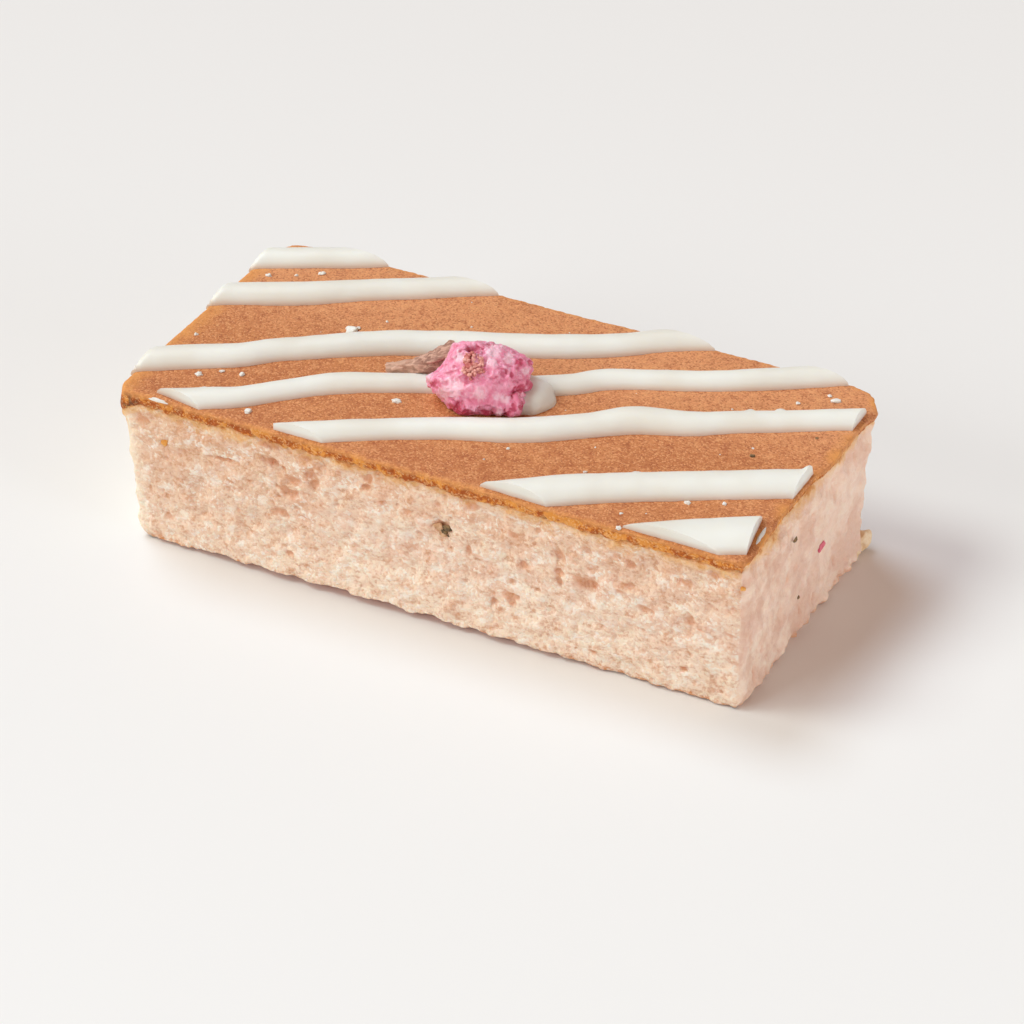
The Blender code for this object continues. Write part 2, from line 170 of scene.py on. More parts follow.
# The pores seen in the right side: (y, z, half width, half height, depth)
RIGHT_PORES = (
    (-12.6, 22.6, 1.0, 0.6, 0.5), (-10.3, 21.0, 0.6, 1.1, 0.6), (1.4, 3.2, 0.9, 1.4, 0.9),
    (-20.0, 3.4, 0.8, 1.5, 0.8), (-17.2, 6.0, 0.6, 1.2, 0.6), (-4.0, 4.6, 0.7, 1.0, 0.7),
    (8.5, 5.2, 0.7, 1.1, 0.6), (-21.5, 9.8, 0.6, 1.4, 0.5), (-9.5, 13.0, 0.8, 1.8, 0.5),
    (-11.4, 8.6, 1.0, 1.6, 0.5), (6.6, 17.6, 0.6, 0.9, 0.4),
)
# The fine pores, drawn by rule: (count, width and height for each radius), upright at the right
FINE_PORES = {
    "front": (460, (1.0, 1.9), (0.6, 1.0)),
    "right": (110, (0.6, 1.0), (1.0, 1.8)),
    "back": (400, (1.0, 1.9), (0.6, 1.0)),
}
FINE_PORE_RADIUS = (0.25 * MM, 0.70 * MM)
FINE_PORE_DEPTH = (0.35, 0.9)
# Where they lie, as shares of the side: how far from its middle, from which height and over how
# much of it, and how crowded they are low down. They grow on the way up
FINE_PORE_REACH, FINE_PORE_FROM, FINE_PORE_SPAN, FINE_PORE_CROWD = 0.49, 0.03, 0.88, 0.75
FINE_PORE_START, FINE_PORE_GROWTH = 0.6, 0.5
# The larger pores of the back, which the photo doesn't show: how many, how far to each side,
# between which heights, and how wide, high and deep
BACK_PORES = 26
BACK_REACH, BACK_HEIGHTS, BACK_WIDTHS, BACK_TALL, BACK_DEEP = 45, (5, 21), (0.8, 1.8), 0.8, 0.9
# Pores are filed in cells. A rim is ragged by this share, over this distance; a pore this deep
# gets the full painted shade inside it, and each is cut to a share of its depth
PORE_CELL = 3 * MM
PORE_RAGGED, PORE_RIM = 0.7, 0.8 * MM
PORE_FULL_SHADE_DEPTH = 0.7 * MM
PORE_SHARE = 0.7
# A point this near to a side is on it, and an edge bent further than this stays sharp
ON_SIDE = 0.01 * MM
SHARP = math.radians(50)

# The white chocolate lines, as in the solid: (rise, points as (along, across, half width))
SLANT = math.radians(27)
SIN, COS = math.sin(SLANT), math.cos(SLANT)
LINES = (
    (0.80, (
        (-46, 38.2, 2.65), (-30, 38.4, 2.65), (-12, 38.9, 2.46),
    )),
    (0.80, (
        (-52, 26.7, 2.75), (-40, 27.3, 2.86), (-30, 27.4, 2.89), (-16, 28.9, 2.61), (8, 30.6, 2.41),
    )),
    (0.80, (
        (-62, 7.2, 2.89), (-48, 8.6, 2.88), (-39, 9.4, 2.76), (-32, 11, 2.72), (-15, 12.7, 3),
        (8, 11.8, 2.87), (18, 12.5, 2.69), (27, 13.7, 2.66), (42, 13.5, 2.46),
    )),
    (0.85, (
        (-58, -3.4, 2.42), (-44, -2.8, 2.43), (-38, -2.3, 2.28), (-32, -0.6, 2.35), (-24, 1.3, 2.41),
        (-14, 1.5, 2.25), (-4, 0.8, 2.23), (9, 0.9, 2.39), (16, 2.4, 2.39), (31, 2, 2.38),
        (42, 2.9, 2.5), (58, 4.8, 2.51),
    )),
    (0.85, (
        (-42, -13, 2.4), (-32, -12.6, 2.5), (-22, -11.6, 2.44), (-9, -11, 2.48), (3, -11.5, 2.75),
        (12, -10.3, 2.68), (19, -9, 3.05), (27, -9.8, 2.72), (36, -9.2, 2.42), (62, -8.1, 2.4),
    )),
    (0.72, (
        (-8, -29.3, 2.93), (2, -28, 3.23), (10, -27, 3.35), (19, -26.4, 3.29), (28, -26, 3.29),
        (56, -24.8, 3.09),
    )),
    (0.52, (
        (8, -41.4, 3.94), (17, -39.9, 4), (26, -38.7, 4.14), (36, -38.2, 4.35), (54, -37.9, 4.45),
    )),
)
LINE_STEP = 0.5
LINE_SINK = 0.25 * MM
LINE_ROOT = 0.5 * MM
LINE_WOBBLE = ((0.10, 5.0), (0.03, 1.6))
TRIM_LEFT = -51.0 * MM
TRIM_RIGHT = {5: 49.9 * MM, 6: 49.35 * MM}
TRIM_BACK = 24.4 * MM
LEFT_ROUND = 1.1 * MM
# Small lumps on the lines: (line, along, across, radius, height)
LINE_BUMPS = (
    (4, -43.4, 0.2, 1.3, 0.5), (3, -19.7, 12.0, 1.0, 0.3), (5, 35.9, -7.6, 0.9, 0.35),
    (5, 40.3, -7.3, 0.9, 0.35), (3, -37.9, 13.0, 0.8, 0.35), (6, 19.0, -23.4, 0.8, 0.3),
    (7, 16.0, -36.2, 0.7, 0.25), (6, 43.7, -24.0, 1.6, 0.8), (7, 37.8, -34.2, 1.5, 0.8),
)
BUMP_HEIGHT = 1.0 * MM
# Where a knife ends each line at the front: two points (x, y) on the crust
FRONT_CUT = ((-50, -24.45), (50, -24.45))
OWN_CUTS = {4: ((-44.4, -23.5), (-36.1, -24.7)), 6: ((9.1, -24.2), (20.8, -24.5))}
# Ends broken or cut across: two points (x, y), and the side that goes, 1 right or -1 left
CROSS_CUTS = {5: ((-24.3, -24.7), (-23.9, -21.5), -1), 7: ((49.5, -24.05), (47.7, -13.7), 1)}

BLOB_AT = (3.4, -2.2)
BLOB_SIZE = (4.6 * MM, 4.7 * MM, 3.3 * MM)
BLOB_LUMPS = ((0.35, 2.4), (0.08, 0.9))
BLOB_RINGS = 40

# Crumbs of white chocolate on the crust: (along, across, size) on the slant of the lines
WHITE_CRUMBS = (
    (-44.5, 4.5, 0.5), (-41.2, 5.3, 0.4), (-38.2, 4.4, 0.5), (-36.7, -5.8, 0.6), (-45.8, 15.9, 0.4),
    (-22.5, 17.2, 0.9), (-21.6, 17.6, 0.5), (-17.3, 19.7, 0.3), (-15.3, -3.1, 0.7),
    (-35.9, 33.6, 0.55), (-31.6, 33.6, 0.4), (-27.7, 34.2, 0.5), (43.1, -3.5, 0.3), (47.9, -1.5, 0.3),
    (1.0, -15.8, 0.3), (11.9, -21.9, 0.3), (26.1, -29.9, 0.5), (31.2, -30.1, 0.35), (16.7, -32.6, 0.3),
    (16.3, -36.1, 0.45),
)
# A crumb's half sizes along the crust, its half height and how high it lies, for each unit of size
WHITE_CRUMB_HALF, WHITE_CRUMB_TALL, WHITE_CRUMB_RISE = (0.6, 1.1), 0.5, 0.15
# How rough all small bits are, and how large the lumps of it are beside the bit
BIT_ROUGH, BIT_GRAIN = 0.55, 1.3
# Dust of the chocolate: how many specks, their size, how far they are thrown, and which stay
DUST = 34
DUST_SIZE = (0.10, 0.20)
DUST_REACH = (44, 34)
DUST_INSIDE = (47 * MM, 22 * MM)

# The blossom: its mass, its rings of petals and its folded petal ends
BLOSSOM_AT = (-3.2, -2.3)
BLOSSOM_SIZE = (7.3 * MM, 5.9 * MM, 4.0 * MM)
BLOSSOM_RISE = 3.7 * MM
BLOSSOM_CLEAR = 0.32 * MM
MASS_RINGS, FOLD_RINGS, SEPAL_RINGS, KNOB_RINGS = 80, 16, 14, 6
# How far the shapes are crushed, and the folds of that: (share, size) of the ridges and the grain
MASS_CRUSH, PETAL_CRUSH, FOLD_CRUSH = 0.55 * MM, 0.42 * MM, 0.45 * MM
CRUSH_RIDGES, CRUSH_GRAIN = ((0.55, 2.3), (0.32, 1.1)), (0.13, 0.5)
CRUSH_HEIGHT = 1.5 * MM
MASS_TAPER = 0.12
# The cells of the petals' one skin, and how often it, and the even skin under its folds, is smoothed
SKIN_CELL = 0.15
SKIN_ROUNDS, EVEN_ROUNDS = 2, 14
FACE_AT = (-0.8, -0.8)
PETAL_THICK = 0.35 * MM
PETAL_START = 0.16
PETAL_CELLS = 30
# Each petal's width near its foot and further out, its notch, its round and its ragged edge, as
# shares; how it waves and cups; and how the dome that it lies on drops away
PETAL_FOOT, PETAL_WIDEN = 0.55, 0.75
PETAL_NOTCH, PETAL_ROUND, PETAL_RAGGED = 0.14, 0.12, 0.10
PETAL_WAVE, PETAL_CUP = 0.3 * MM, 0.4 * MM
DOME_DROP, DOME_POWER = 1.35, 2.4
PETAL_RINGS = (
    {"count": 7, "reach": 1.09, "lift": 0.1 * MM, "spread": 0.62, "turn": 0.2},
    {"count": 6, "reach": 0.78, "lift": 0.8 * MM, "spread": 0.60, "turn": 0.75},
)
# The petals' wet skin, as layers of noise, and how far it is sunk around the stamens; the
# sharpness is also that of the calyx's wrinkles
WET_RIDGES, WET_GRAIN = (0.15, 0.9), (0.07, 0.42)
WET_SHARPNESS = 2.6
TUFT_HOLLOW = 0.5 * MM
# Folded petal ends: (along, across, height over the crust, half sizes, turn, tilt)
FOLDS = (
    (3.0, -4.4, 3.6, (2.2, 1.0, 0.9), 0.2, 0.3), (2.9, -6.0, 2.7, (2.0, 1.0, 0.9), -0.3, 0.4),
    (-0.4, -6.9, 2.3, (1.1, 1.3, 1.7), 0.2, 0.2), (1.0, -7.1, 2.0, (0.9, 1.1, 1.7), 0.5, -0.1),
    (2.3, -7.0, 2.2, (1.0, 1.2, 1.6), -0.2, 0.3), (-2.4, -7.3, 1.6, (1.9, 1.0, 1.4), 0.0, 0.1),
    (-4.8, -7.0, 1.8, (1.6, 1.1, 1.5), 0.3, 0.2), (-6.6, -6.0, 2.0, (1.5, 1.2, 1.5), 0.9, -0.3),
    (-9.6, -1.9, 2.6, (1.2, 1.4, 0.9), 0.5, -0.4),
)

# How much a millimetre along, across or up shows in the photo's view, and the blossom's middle there
VIEW_ALONG, VIEW_ACROSS, VIEW_UP = 1.033, 0.537, 0.884
VIEW_MIDDLE = (-2.65, 1.336)
# The blossom in that view, in millimetres to the right and upwards from its middle: its outline
# as (angle, radius), its crimson and its pale parts as (right, up, radius), and its stamens
OUTLINE = (
    (0, 7.3), (9, 7.2), (20, 8.1), (38, 7.0), (50, 6.5), (70, 6.1), (90, 6.0), (105, 6.4), (117, 6.8),
    (129, 7.4), (146, 6.6), (160, 6.8), (169, 7.5), (175, 8.9), (186, 8.2), (196, 7.4), (210, 6.8),
    (233, 6.5), (250, 5.6), (264, 5.1), (287, 5.3), (310, 6.9), (318, 7.3), (332, 7.1), (338, 6.2),
    (347, 7.0), (360, 7.3),
)
OUTLINE_STEPS = 72
# Above the middle the outline is reached mostly by height, and the rest by going back
TOP_BY_HEIGHT = 0.8
DEEP_SPOTS = (
    (-4.2, -4.1, 1.4), (-2.8, -4.7, 1.0), (0.4, -4.8, 0.8), (-7.5, -0.3, 0.6), (5.5, -1.2, 1.2),
    (7.2, -0.6, 1.0), (5.6, -3.6, 0.7), (4.5, -3.7, 0.8), (3.7, -4.7, 0.6), (5.4, 2.9, 0.8),
    (7.2, 2.9, 0.7), (4.1, 1.0, 0.5),
)
PALE_SPOTS = (
    (-4.5, -0.9, 1.7), (-5.9, -1.7, 1.1), (-8.5, 0.9, 0.8), (1.5, 4.5, 1.3), (1.2, 3.1, 0.9),
    (3.2, -2.6, 0.8), (2.3, -4.6, 0.55), (5.6, -1.9, 0.6), (1.9, -2.2, 0.5), (-0.6, -1.8, 1.0),
    (-3.5, 3.6, 0.9), (3.7, 3.6, 0.9), (6.2, 1.6, 0.7),
)
STAMENS_AT = (-1.5, 2.5)
STAMENS_HALF = (1.45, 1.75)
STAMENS = 120
# Each stamen's thread and knob, from the least to the most; the radii are the foot's and the tip's,
# and the shape is the knob's length, width and height
THREAD_LENGTH, THREAD_RADII, KNOB = (0.15, 0.50), (0.14, 0.10), (0.20, 0.36)
KNOB_SHAPE = (1.0, 0.8, 0.7)
# How much crimson and painted shade, and how much pale and painted highlight, a spot has:
# (at rest, by relief, by crimson, by pale)
CRIMSON_AND_SHADE_BY = (0.22, -3.6, 1.1, -0.4)
PALE_AND_HIGHLIGHT_BY = (0.15, 2.6, -0.6, 1.0)

# The calyx and stem: (along, across, height, radius), and scraps as the folds' rows
CALYX = (
    (-4.4, 1.0, 3.6, 2.6), (-7.6, 3.2, 3.3, 2.3), (-10.2, 3.7, 2.3, 1.7), (-12.4, 4.1, 1.6, 1.25),
    (-14.6, 4.4, 1.3, 0.9), (-16.9, 4.6, 1.1, 0.5),
)
CALYX_STEP = 0.25
# Its wrinkles and grain, as layers of noise, and how far they are drawn out along the stem
CALYX_RIDGES, CALYX_GRAIN = (0.22, 0.7), (0.16, 0.3)
CALYX_DRAWN = 0.8
SEPAL_GRAIN = (0.25, 0.6)
SEPALS = (
    (-8.0, 2.6, 5.4, (1.8, 0.9, 0.35), 0.9, -0.5), (-9.6, 1.6, 4.4, (1.9, 0.7, 0.35), 0.1, -0.3),
    (-14.6, 3.6, 1.6, (1.7, 0.4, 0.25), 0.15, 0.1), (-15.6, 5.2, 1.4, (1.4, 0.35, 0.25), -0.2, 0.0),
)

# Display colours of each finish, 0 to 255
CALYX_DARK = (150, 108, 92)
CALYX_PALE = (208, 164, 144)
CALYX_TIP = (232, 192, 166)
CRUMB_PINK = (240, 204, 179)
CRUMB_CREAM = (251, 231, 209)
CRUMB_HIGH = (236, 190, 150)
# painted shade: the crumb of the front darker towards the left end
CRUMB_LEFT_SHADE = (226, 182, 146)
CRUMB_LOW = (252, 230, 206)
# painted shade in the crumb's small hollows
CRUMB_HOLLOW_SHADE = (209, 150, 110)
# painted highlights on the crumb's granules
CRUMB_HIGHLIGHT = (255, 246, 234)
# painted shade inside the pores, darker and warmer the deeper they are
PORE_SHADE = (220, 150, 104)
RIGHT_PINK = (222, 180, 156)
RIGHT_CREAM = (250, 226, 206)
# painted light: the right side lighter towards its back
RIGHT_FAR_PAINTED_LIGHT = (255, 226, 206)
RIGHT_ROSE = (212, 158, 132)
# the skin at the front's left: its own cream, made whiter as painted light
SKIN_CREAM_AND_LIGHT = (255, 240, 216)
TIN_TAN = (226, 184, 132)
TIN_CREAM = (242, 212, 170)
YELLOW_ZONE = (238, 184, 112)
GOLD_LINE = (210, 138, 70)
# the foot's baked colour, darker and more orange as painted contact shade and glow
FOOT_BAKE_AND_SHADE = (216, 136, 70)
UNDERSIDE = (226, 116, 44)
CRUST_BROWN = (190, 118, 70)
CRUST_WARM = (197, 126, 76)
CRUST_BACK = (214, 146, 98)
CRUST_LIGHT = (228, 165, 113)
CRUST_DARK = (158, 84, 48)
CRUST_GOLD = (224, 154, 82)
CUT_ORANGE = (190, 100, 26)
CUT_GOLD = (226, 150, 64)
CUT_DARK = (164, 76, 16)
CUT_PALE = (244, 200, 140)
BURNT = (96, 64, 38)
CHOCOLATE_WHITE = (233, 235, 228)
CHOCOLATE_IVORY = (228, 227, 217)
# painted contact shade on the chocolate just over the crust
CHOCOLATE_CONTACT_SHADE = (206, 164, 132)
PETAL_PINK = (243, 162, 190)
PETAL_ROSE = (233, 134, 166)
# the petals' pale parts, and painted highlights on their folds and in fine specks
PETAL_PALE_AND_HIGHLIGHT = (252, 214, 226)
# the petals' crimson parts, and painted shade in their creases
PETAL_CRIMSON_AND_SHADE = (194, 50, 90)
FLOOR_TINT = (233, 234, 233)

# The room's light and the lamps: name, kind, place, spread (a panel's side or the angle a sun
# fills), power, tint
WORLD_TINT = (1.0, 0.66, 0.50, 1.0)
WORLD_STRENGTH = 0.37
LAMPS = (
    ("key", "SUN", (-0.60, -0.24, 0.76), math.radians(24), 1.28, (0.95, 1.04, 1.0)),
    ("back key", "SUN", (-0.47, 0.24, 0.85), math.radians(24), 1.12, (0.82, 1.0, 1.16)),
    ("front fill", "AREA", (-0.45, -0.75, 0.46), 0.4, 2.9, (0.96, 1.01, 1.03)),
    ("right fill", "AREA", (0.95, -0.15, 0.16), 0.4, 3.3, (0.90, 1.0, 1.10)),
)
FLOOR_HALF = 3.0

# The photo's camera: its height and turn round the bar, its distance from a spot by the foot,
# and its focal length and picture in pixels
CAMERA_HEIGHT, CAMERA_TURN = math.radians(33.53), math.radians(27.07)
CAMERA_AWAY = 0.5596
CAMERA_TARGET = Vector((-1.32 * MM, 5.98 * MM, 0))
FOCAL_PIXELS, PHOTO_PIXELS = 3700, 1024
SENSOR = 36


def mm(*values):
    """Millimetres as metres."""
    return [value * MM for value in values]


def near(distance, reach):
    """1 at a place, falling evenly to 0 this far from it."""
    return max(0.0, 1 - distance / reach)


def quarter_round(share):
    """How far a quarter round has dropped, 0 to 1, at this share of the way out to its end."""
    return 1 - math.sqrt(max(0.0, 1 - share * share))


def relief(point, *layers):
    """Noise over a surface, in metres; a layer is (height, size of its lumps), in millimetres."""
    return sum(height * noise.noise(point / (size * MM)) for height, size in layers) * MM


def ridge(point, size, sharpness=3.0):
    """Noise folded like crushed paper: 1 along the ridges, less to both sides of them."""
    return 1 - sharpness * abs(noise.noise(point / size))


def along_table(table, value):
    """What a table of (place, value) gives at a place between its rows."""
    for (low, first), (high, second) in zip(table, table[1:]):
        if value <= high:
            return first + (second - first) * max(0.0, (value - low) / (high - low))
    return table[-1][1]


def linear(tint):
    """A display colour, 0 to 255, as the linear colour that shaders take; a socket as it is."""
    if not isinstance(tint, tuple):
        return tint
    parts = [value / 255 for value in tint]
    return [((part + 0.055) / 1.055) ** 2.4 if part > 0.04 else part / 12.92 for part in parts] + [1.0]


class Paint:
    """A node material, with short words for the nodes it is made of."""

    def __init__(self, name):
        self.material = bpy.data.materials.new(name)
        self.material.use_nodes = True
        self.tree = self.material.node_tree
        self.shader = self.tree.nodes["Principled BSDF"]
        self.place = self.node("TexCoord")["Object"]

    def node(self, kind, sockets=(), **settings):
        """Adds a node with these sockets and settings, and gives its outputs."""
        made = self.tree.nodes.new("ShaderNode" + kind)
        for setting, value in settings.items():
            setattr(made, setting, value)
        for socket, value in dict(sockets).items():
            self.put(made.inputs[socket], value)
        return made.outputs

    def put(self, socket, value):
        if isinstance(value, bpy.types.NodeSocket):
            self.tree.links.new(value, socket)
        else:
            socket.default_value = value

    def maths(self, operation, *values):
        return self.node("Math", dict(enumerate(values)), operation=operation)[0]

    def plus(self, total, *more):
        for value in more:
            total = self.maths("ADD", total, value)
        return total

    def times(self, first, second):
        return self.maths("MULTIPLY", first, second)

    def attribute(self, name):
        return self.node("Attribute", attribute_name=name)["Fac"]

    def axis(self, letter, place=None):
        return self.node("SeparateXYZ", {0: place or self.place})[letter]

    def stretched(self, scale, place=None):
        return self.node("Mapping", {"Vector": place or self.place, "Scale": scale})[0]

    def grain(self, size, detail=2.0, roughness=0.5, place=None, output="Fac"):
        """Noise from 0 to 1 whose lumps are about this size."""
        sockets = {
            "Vector": place or self.place,
            "Scale": 0.6 / size,
            "Detail": detail,
            "Roughness": roughness,
        }
        return self.node("TexNoise", sockets)[output]

    def warped(self, size, amount):
        """Coordinates pushed about by noise, so that what is drawn on them looks ragged."""
        shove = self.grain(size, output="Color")
        shove = self.node("VectorMath", {0: shove, 1: (0.5, 0.5, 0.5)}, operation="SUBTRACT")[0]
        shove = self.node("VectorMath", {0: shove, "Scale": 2 * amount}, operation="SCALE")[0]
        return self.node("VectorMath", {0: self.place, 1: shove}, operation="ADD")[0]

    def granules(self, size, place=None):
        """(a value of 0 to 1 that each granule of about this size has, distance from its middle)."""
        found = self.node("TexVoronoi", {"Vector": place or self.place, "Scale": 1 / size})
        return self.node("SeparateColor", {0: found["Color"]})[0], found["Distance"]

    def between(self, value, low, high):
        """0 where the value is below low, 1 above high and smooth between; low may be the larger."""
        sockets = {"Value": value, "From Min": low, "From Max": high}
        return self.node("MapRange", sockets, interpolation_type="SMOOTHSTEP")[0]

    def share(self, value, low, high, most):
        return self.times(self.between(value, low, high), most)

    def swing(self, grain, amount):
        """Noise of 0 to 1 as a push to either side."""
        return self.times(self.maths("SUBTRACT", grain, 0.5), amount)

    def mix(self, share, first, second):
        """Blends two tints; a tint is a display colour or a socket."""
        return self.node("Mix", {0: share, 6: linear(first), 7: linear(second)}, data_type="RGBA")[2]

    def coats(self, base, *coats):
        """Lays coats over a base, one after another.

        Each is (how much of it shows, tint), or (value, low, high, most, tint) for a share.
        """
        for *share, tint in coats:
            base = self.mix(self.share(*share) if share[1:] else share[0], base, tint)
        return base

    def bump(self, height, depth):
        return self.node("Bump", {"Height": height, "Distance": depth, "Strength": 1.0})[0]

    def finish(self, base, roughness, normal=None, shine=0.5, soft=None):
        """Sets the shader; soft is (how much light sinks in, how far each colour goes, scale)."""
        sockets = {"Base Color": linear(base), "Roughness": roughness, "Specular IOR Level": shine}
        if normal:
            sockets["Normal"] = normal
        if soft:
            sockets.update(zip(("Subsurface Weight", "Subsurface Radius", "Subsurface Scale"), soft))
        for socket, value in sockets.items():
            self.put(self.shader.inputs[socket], value)
        return self.material


def crumb_material():
    """Pink open crumb: creamy and yellower low down, golden under the crust and at the tin."""
    paint = Paint("pink crumb")
    height = paint.axis("Z")
    skin = paint.attribute("skin")
    right = paint.attribute("right_side")
    open_crumb = paint.maths("SUBTRACT", 1.0, paint.times(right, 0.45))
    flat = paint.stretched((0.8, 1, 1.2))
    patches = paint.grain(3.4 * MM, 4, 0.6, paint.stretched((1, 1, 1.4)))
    hollows = paint.grain(1.1 * MM, 3, 0.6, paint.stretched((0.85, 1, 1.2)))
    small = paint.grain(0.65 * MM, 3, 0.7, flat)
    fine = paint.grain(0.26 * MM, 2, 0.6)
    granule, from_middle = paint.granules(0.42 * MM, paint.warped(0.5 * MM, 0.22 * MM))
    base = paint.coats(
        paint.mix(paint.between(patches, 0.32, 0.68), CRUMB_PINK, CRUMB_CREAM),
        # painted shade, darker towards the left end
        (paint.axis("X"), -5 * MM, -34 * MM, 0.5, CRUMB_LEFT_SHADE),
        (height, 11 * MM, 23 * MM, 0.45, CRUMB_HIGH),
        (height, 13 * MM, 3 * MM, 0.6, CRUMB_LOW),
    )

    # painted shade in the crumb's small hollows and painted highlights on its granules, each kind thicker
    # in its own clusters
    cluster = paint.grain(2.1 * MM, 3, 0.65, flat)
    airy = paint.plus(paint.share(cluster, 0.44, 0.60, 0.8), 0.2)
    dense = paint.plus(paint.share(cluster, 0.58, 0.42, 0.6), 0.4)
    for value, low, high, most, where, tint in (
        (hollows, 0.45, 0.33, 0.60, dense, CRUMB_HOLLOW_SHADE),
        (small, 0.47, 0.35, 0.65, dense, CRUMB_HOLLOW_SHADE),
        (granule, 0.40, 0.05, 0.40, dense, CRUMB_HOLLOW_SHADE),
        (granule, 0.58, 0.90, 0.70, airy, CRUMB_HIGHLIGHT),
        (fine, 0.56, 0.74, 0.50, airy, CRUMB_HIGHLIGHT),
        (small, 0.56, 0.68, 0.55, airy, CRUMB_HIGHLIGHT),
        (hollows, 0.56, 0.61, 0.60, airy, CRUMB_HIGHLIGHT),
    ):
        share = paint.times(paint.share(value, low, high, most), where)
        base = paint.mix(paint.times(share, open_crumb), base, tint)

    # the right side is smeared by the knife, and the skin is baked against the tin
    streaks = paint.grain(1.9 * MM, 4, 0.7, paint.stretched((1, 1, 0.75)))
    smeared = paint.mix(paint.between(streaks, 0.36, 0.62), RIGHT_PINK, RIGHT_CREAM)
    # painted light, lighter towards the back of the right side
    smeared = paint.mix(paint.share(paint.axis("Y"), -24 * MM, 22 * MM, 0.9), smeared, RIGHT_FAR_PAINTED_LIGHT)
    rosy = paint.share(paint.grain(6 * MM, 3, 0.6), 0.54, 0.40, 0.35)
    # painted shade inside the pores
    pore_shade_share = paint.share(paint.attribute("pore"), 0.05, 0.8, 0.6)
    mottled = paint.mix(paint.between(patches, 0.36, 0.64), TIN_TAN, TIN_CREAM)
    mottled = paint.mix(paint.share(granule, 0.5, 0.0, 0.35), mottled, TIN_TAN)
    tin_side = paint.between(paint.axis("X"), -48.9 * MM, -50.2 * MM)

    # the depth under the crust, and the height of the foot, along ragged lines
    ragged = paint.swing(small, 3.2 * MM)
    depth = paint.plus(
        paint.maths("SUBTRACT", HEIGHT, height),
        ragged,
        paint.swing(patches, 5.0 * MM),
        paint.times(right, 0.9 * MM),
        paint.times(skin, -2.6 * MM),
    )
    # the foot: its baked colour, with painted contact shade and glow
    foot = paint.share(paint.plus(height, ragged), 1.1 * MM, 0.1 * MM, 0.85)
    base = paint.coats(
        base,
        (paint.times(right, 0.6), smeared),
        (paint.times(rosy, right), RIGHT_ROSE),
        (paint.times(pore_shade_share, open_crumb), PORE_SHADE),
        # the tin's skin; where it shows at the front's left, its cream is whiter as painted light
        (paint.times(skin, 0.95), paint.mix(tin_side, SKIN_CREAM_AND_LIGHT, mottled)),
        (depth, 4.2 * MM, 1.8 * MM, 0.75, YELLOW_ZONE),
        (depth, 2.4 * MM, 1.4 * MM, 0.9, GOLD_LINE),
        (paint.times(foot, open_crumb), FOOT_BAKE_AND_SHADE),
        (paint.attribute("underside"), UNDERSIDE),
    )
    rough = paint.plus(paint.times(small, 0.7), paint.times(fine, 0.5), paint.times(from_middle, -0.45))
    normal = paint.bump(paint.times(rough, open_crumb), 0.30 * MM)
    return paint.finish(base, 0.6, normal, 0.35, (0.3, (1.0, 0.6, 0.4), 1.0 * MM))


def crust_material():
    """Browned top: matte, sandy, golden where it rolls over at its edges."""
    paint = Paint("browned crust")
    patches = paint.grain(7 * MM, 2)
    mottle = paint.grain(1.1 * MM, 4, 0.8)
    lump = paint.grain(1.1 * MM, 3, 0.75)
    fine = paint.grain(0.20 * MM, 2, 0.6)
    granule, from_middle = paint.granules(0.25 * MM)
    gold = paint.plus(paint.attribute("edge"), paint.swing(mottle, 0.8))
    side = paint.plus(paint.attribute("side"), paint.swing(mottle, 0.7))
    past_line = paint.times(paint.between(side, 0.50, 0.80), paint.attribute("right_side"))
    cut = paint.coats(
        paint.mix(paint.between(lump, 0.47, 0.58), CUT_ORANGE, CUT_GOLD),
        (lump, 0.49, 0.40, 0.85, CUT_DARK),
        (granule, 0.62, 0.95, 0.5, CUT_PALE),
        (side, 0.65, 1.1, 0.6, YELLOW_ZONE),
        (past_line, paint.mix(paint.share(lump, 0.44, 0.60, 0.55), YELLOW_ZONE, RIGHT_CREAM)),
    )
    base = paint.coats(
        paint.mix(paint.between(patches, 0.38, 0.62), CRUST_BROWN, CRUST_WARM),
        (paint.axis("Y"), -6 * MM, 15 * MM, 0.9, CRUST_BACK),
        (mottle, 0.52, 0.68, 0.45, CRUST_LIGHT),
        (mottle, 0.48, 0.34, 0.55, CRUST_DARK),
        (granule, 0.60, 1.0, 0.68, CRUST_LIGHT),
        (granule, 0.36, 0.0, 0.62, CRUST_DARK),
        (fine, 0.58, 0.74, 0.35, CRUST_LIGHT),
        (gold, 0.15, 0.9, 0.85, CRUST_GOLD),
        (paint.between(side, 0.10, 0.30), cut),
        (paint.times(paint.attribute("burnt"), 0.85), BURNT),
    )
    height = paint.plus(paint.times(mottle, 0.5), paint.times(fine, 0.5), paint.times(from_middle, -0.3))
    return paint.finish(base, 0.7, paint.bump(height, 0.16 * MM), 0.35, (0.1, (1.0, 0.4, 0.2), 0.6 * MM))


def chocolate_material(name, contact_shade):
    """White chocolate: ivory, softly shining, a little translucent, with painted shade where it meets the
    crust.
    """
    paint = Paint(name)
    over_crust = paint.maths("SUBTRACT", paint.axis("Z"), HEIGHT)
    base = paint.coats(
        paint.mix(paint.between(paint.grain(6 * MM, 2), 0.35, 0.7), CHOCOLATE_WHITE, CHOCOLATE_IVORY),
        # painted contact shade, warmer and darker low down by the crust
        (over_crust, 1.0 * MM, 0.05 * MM, contact_shade, CHOCOLATE_CONTACT_SHADE),
    )
    normal = paint.bump(paint.grain(1.4 * MM, 2), 0.05 * MM)
    return paint.finish(base, 0.42, normal, 0.4, (0.18, (1.0, 0.85, 0.6), 1.2 * MM))


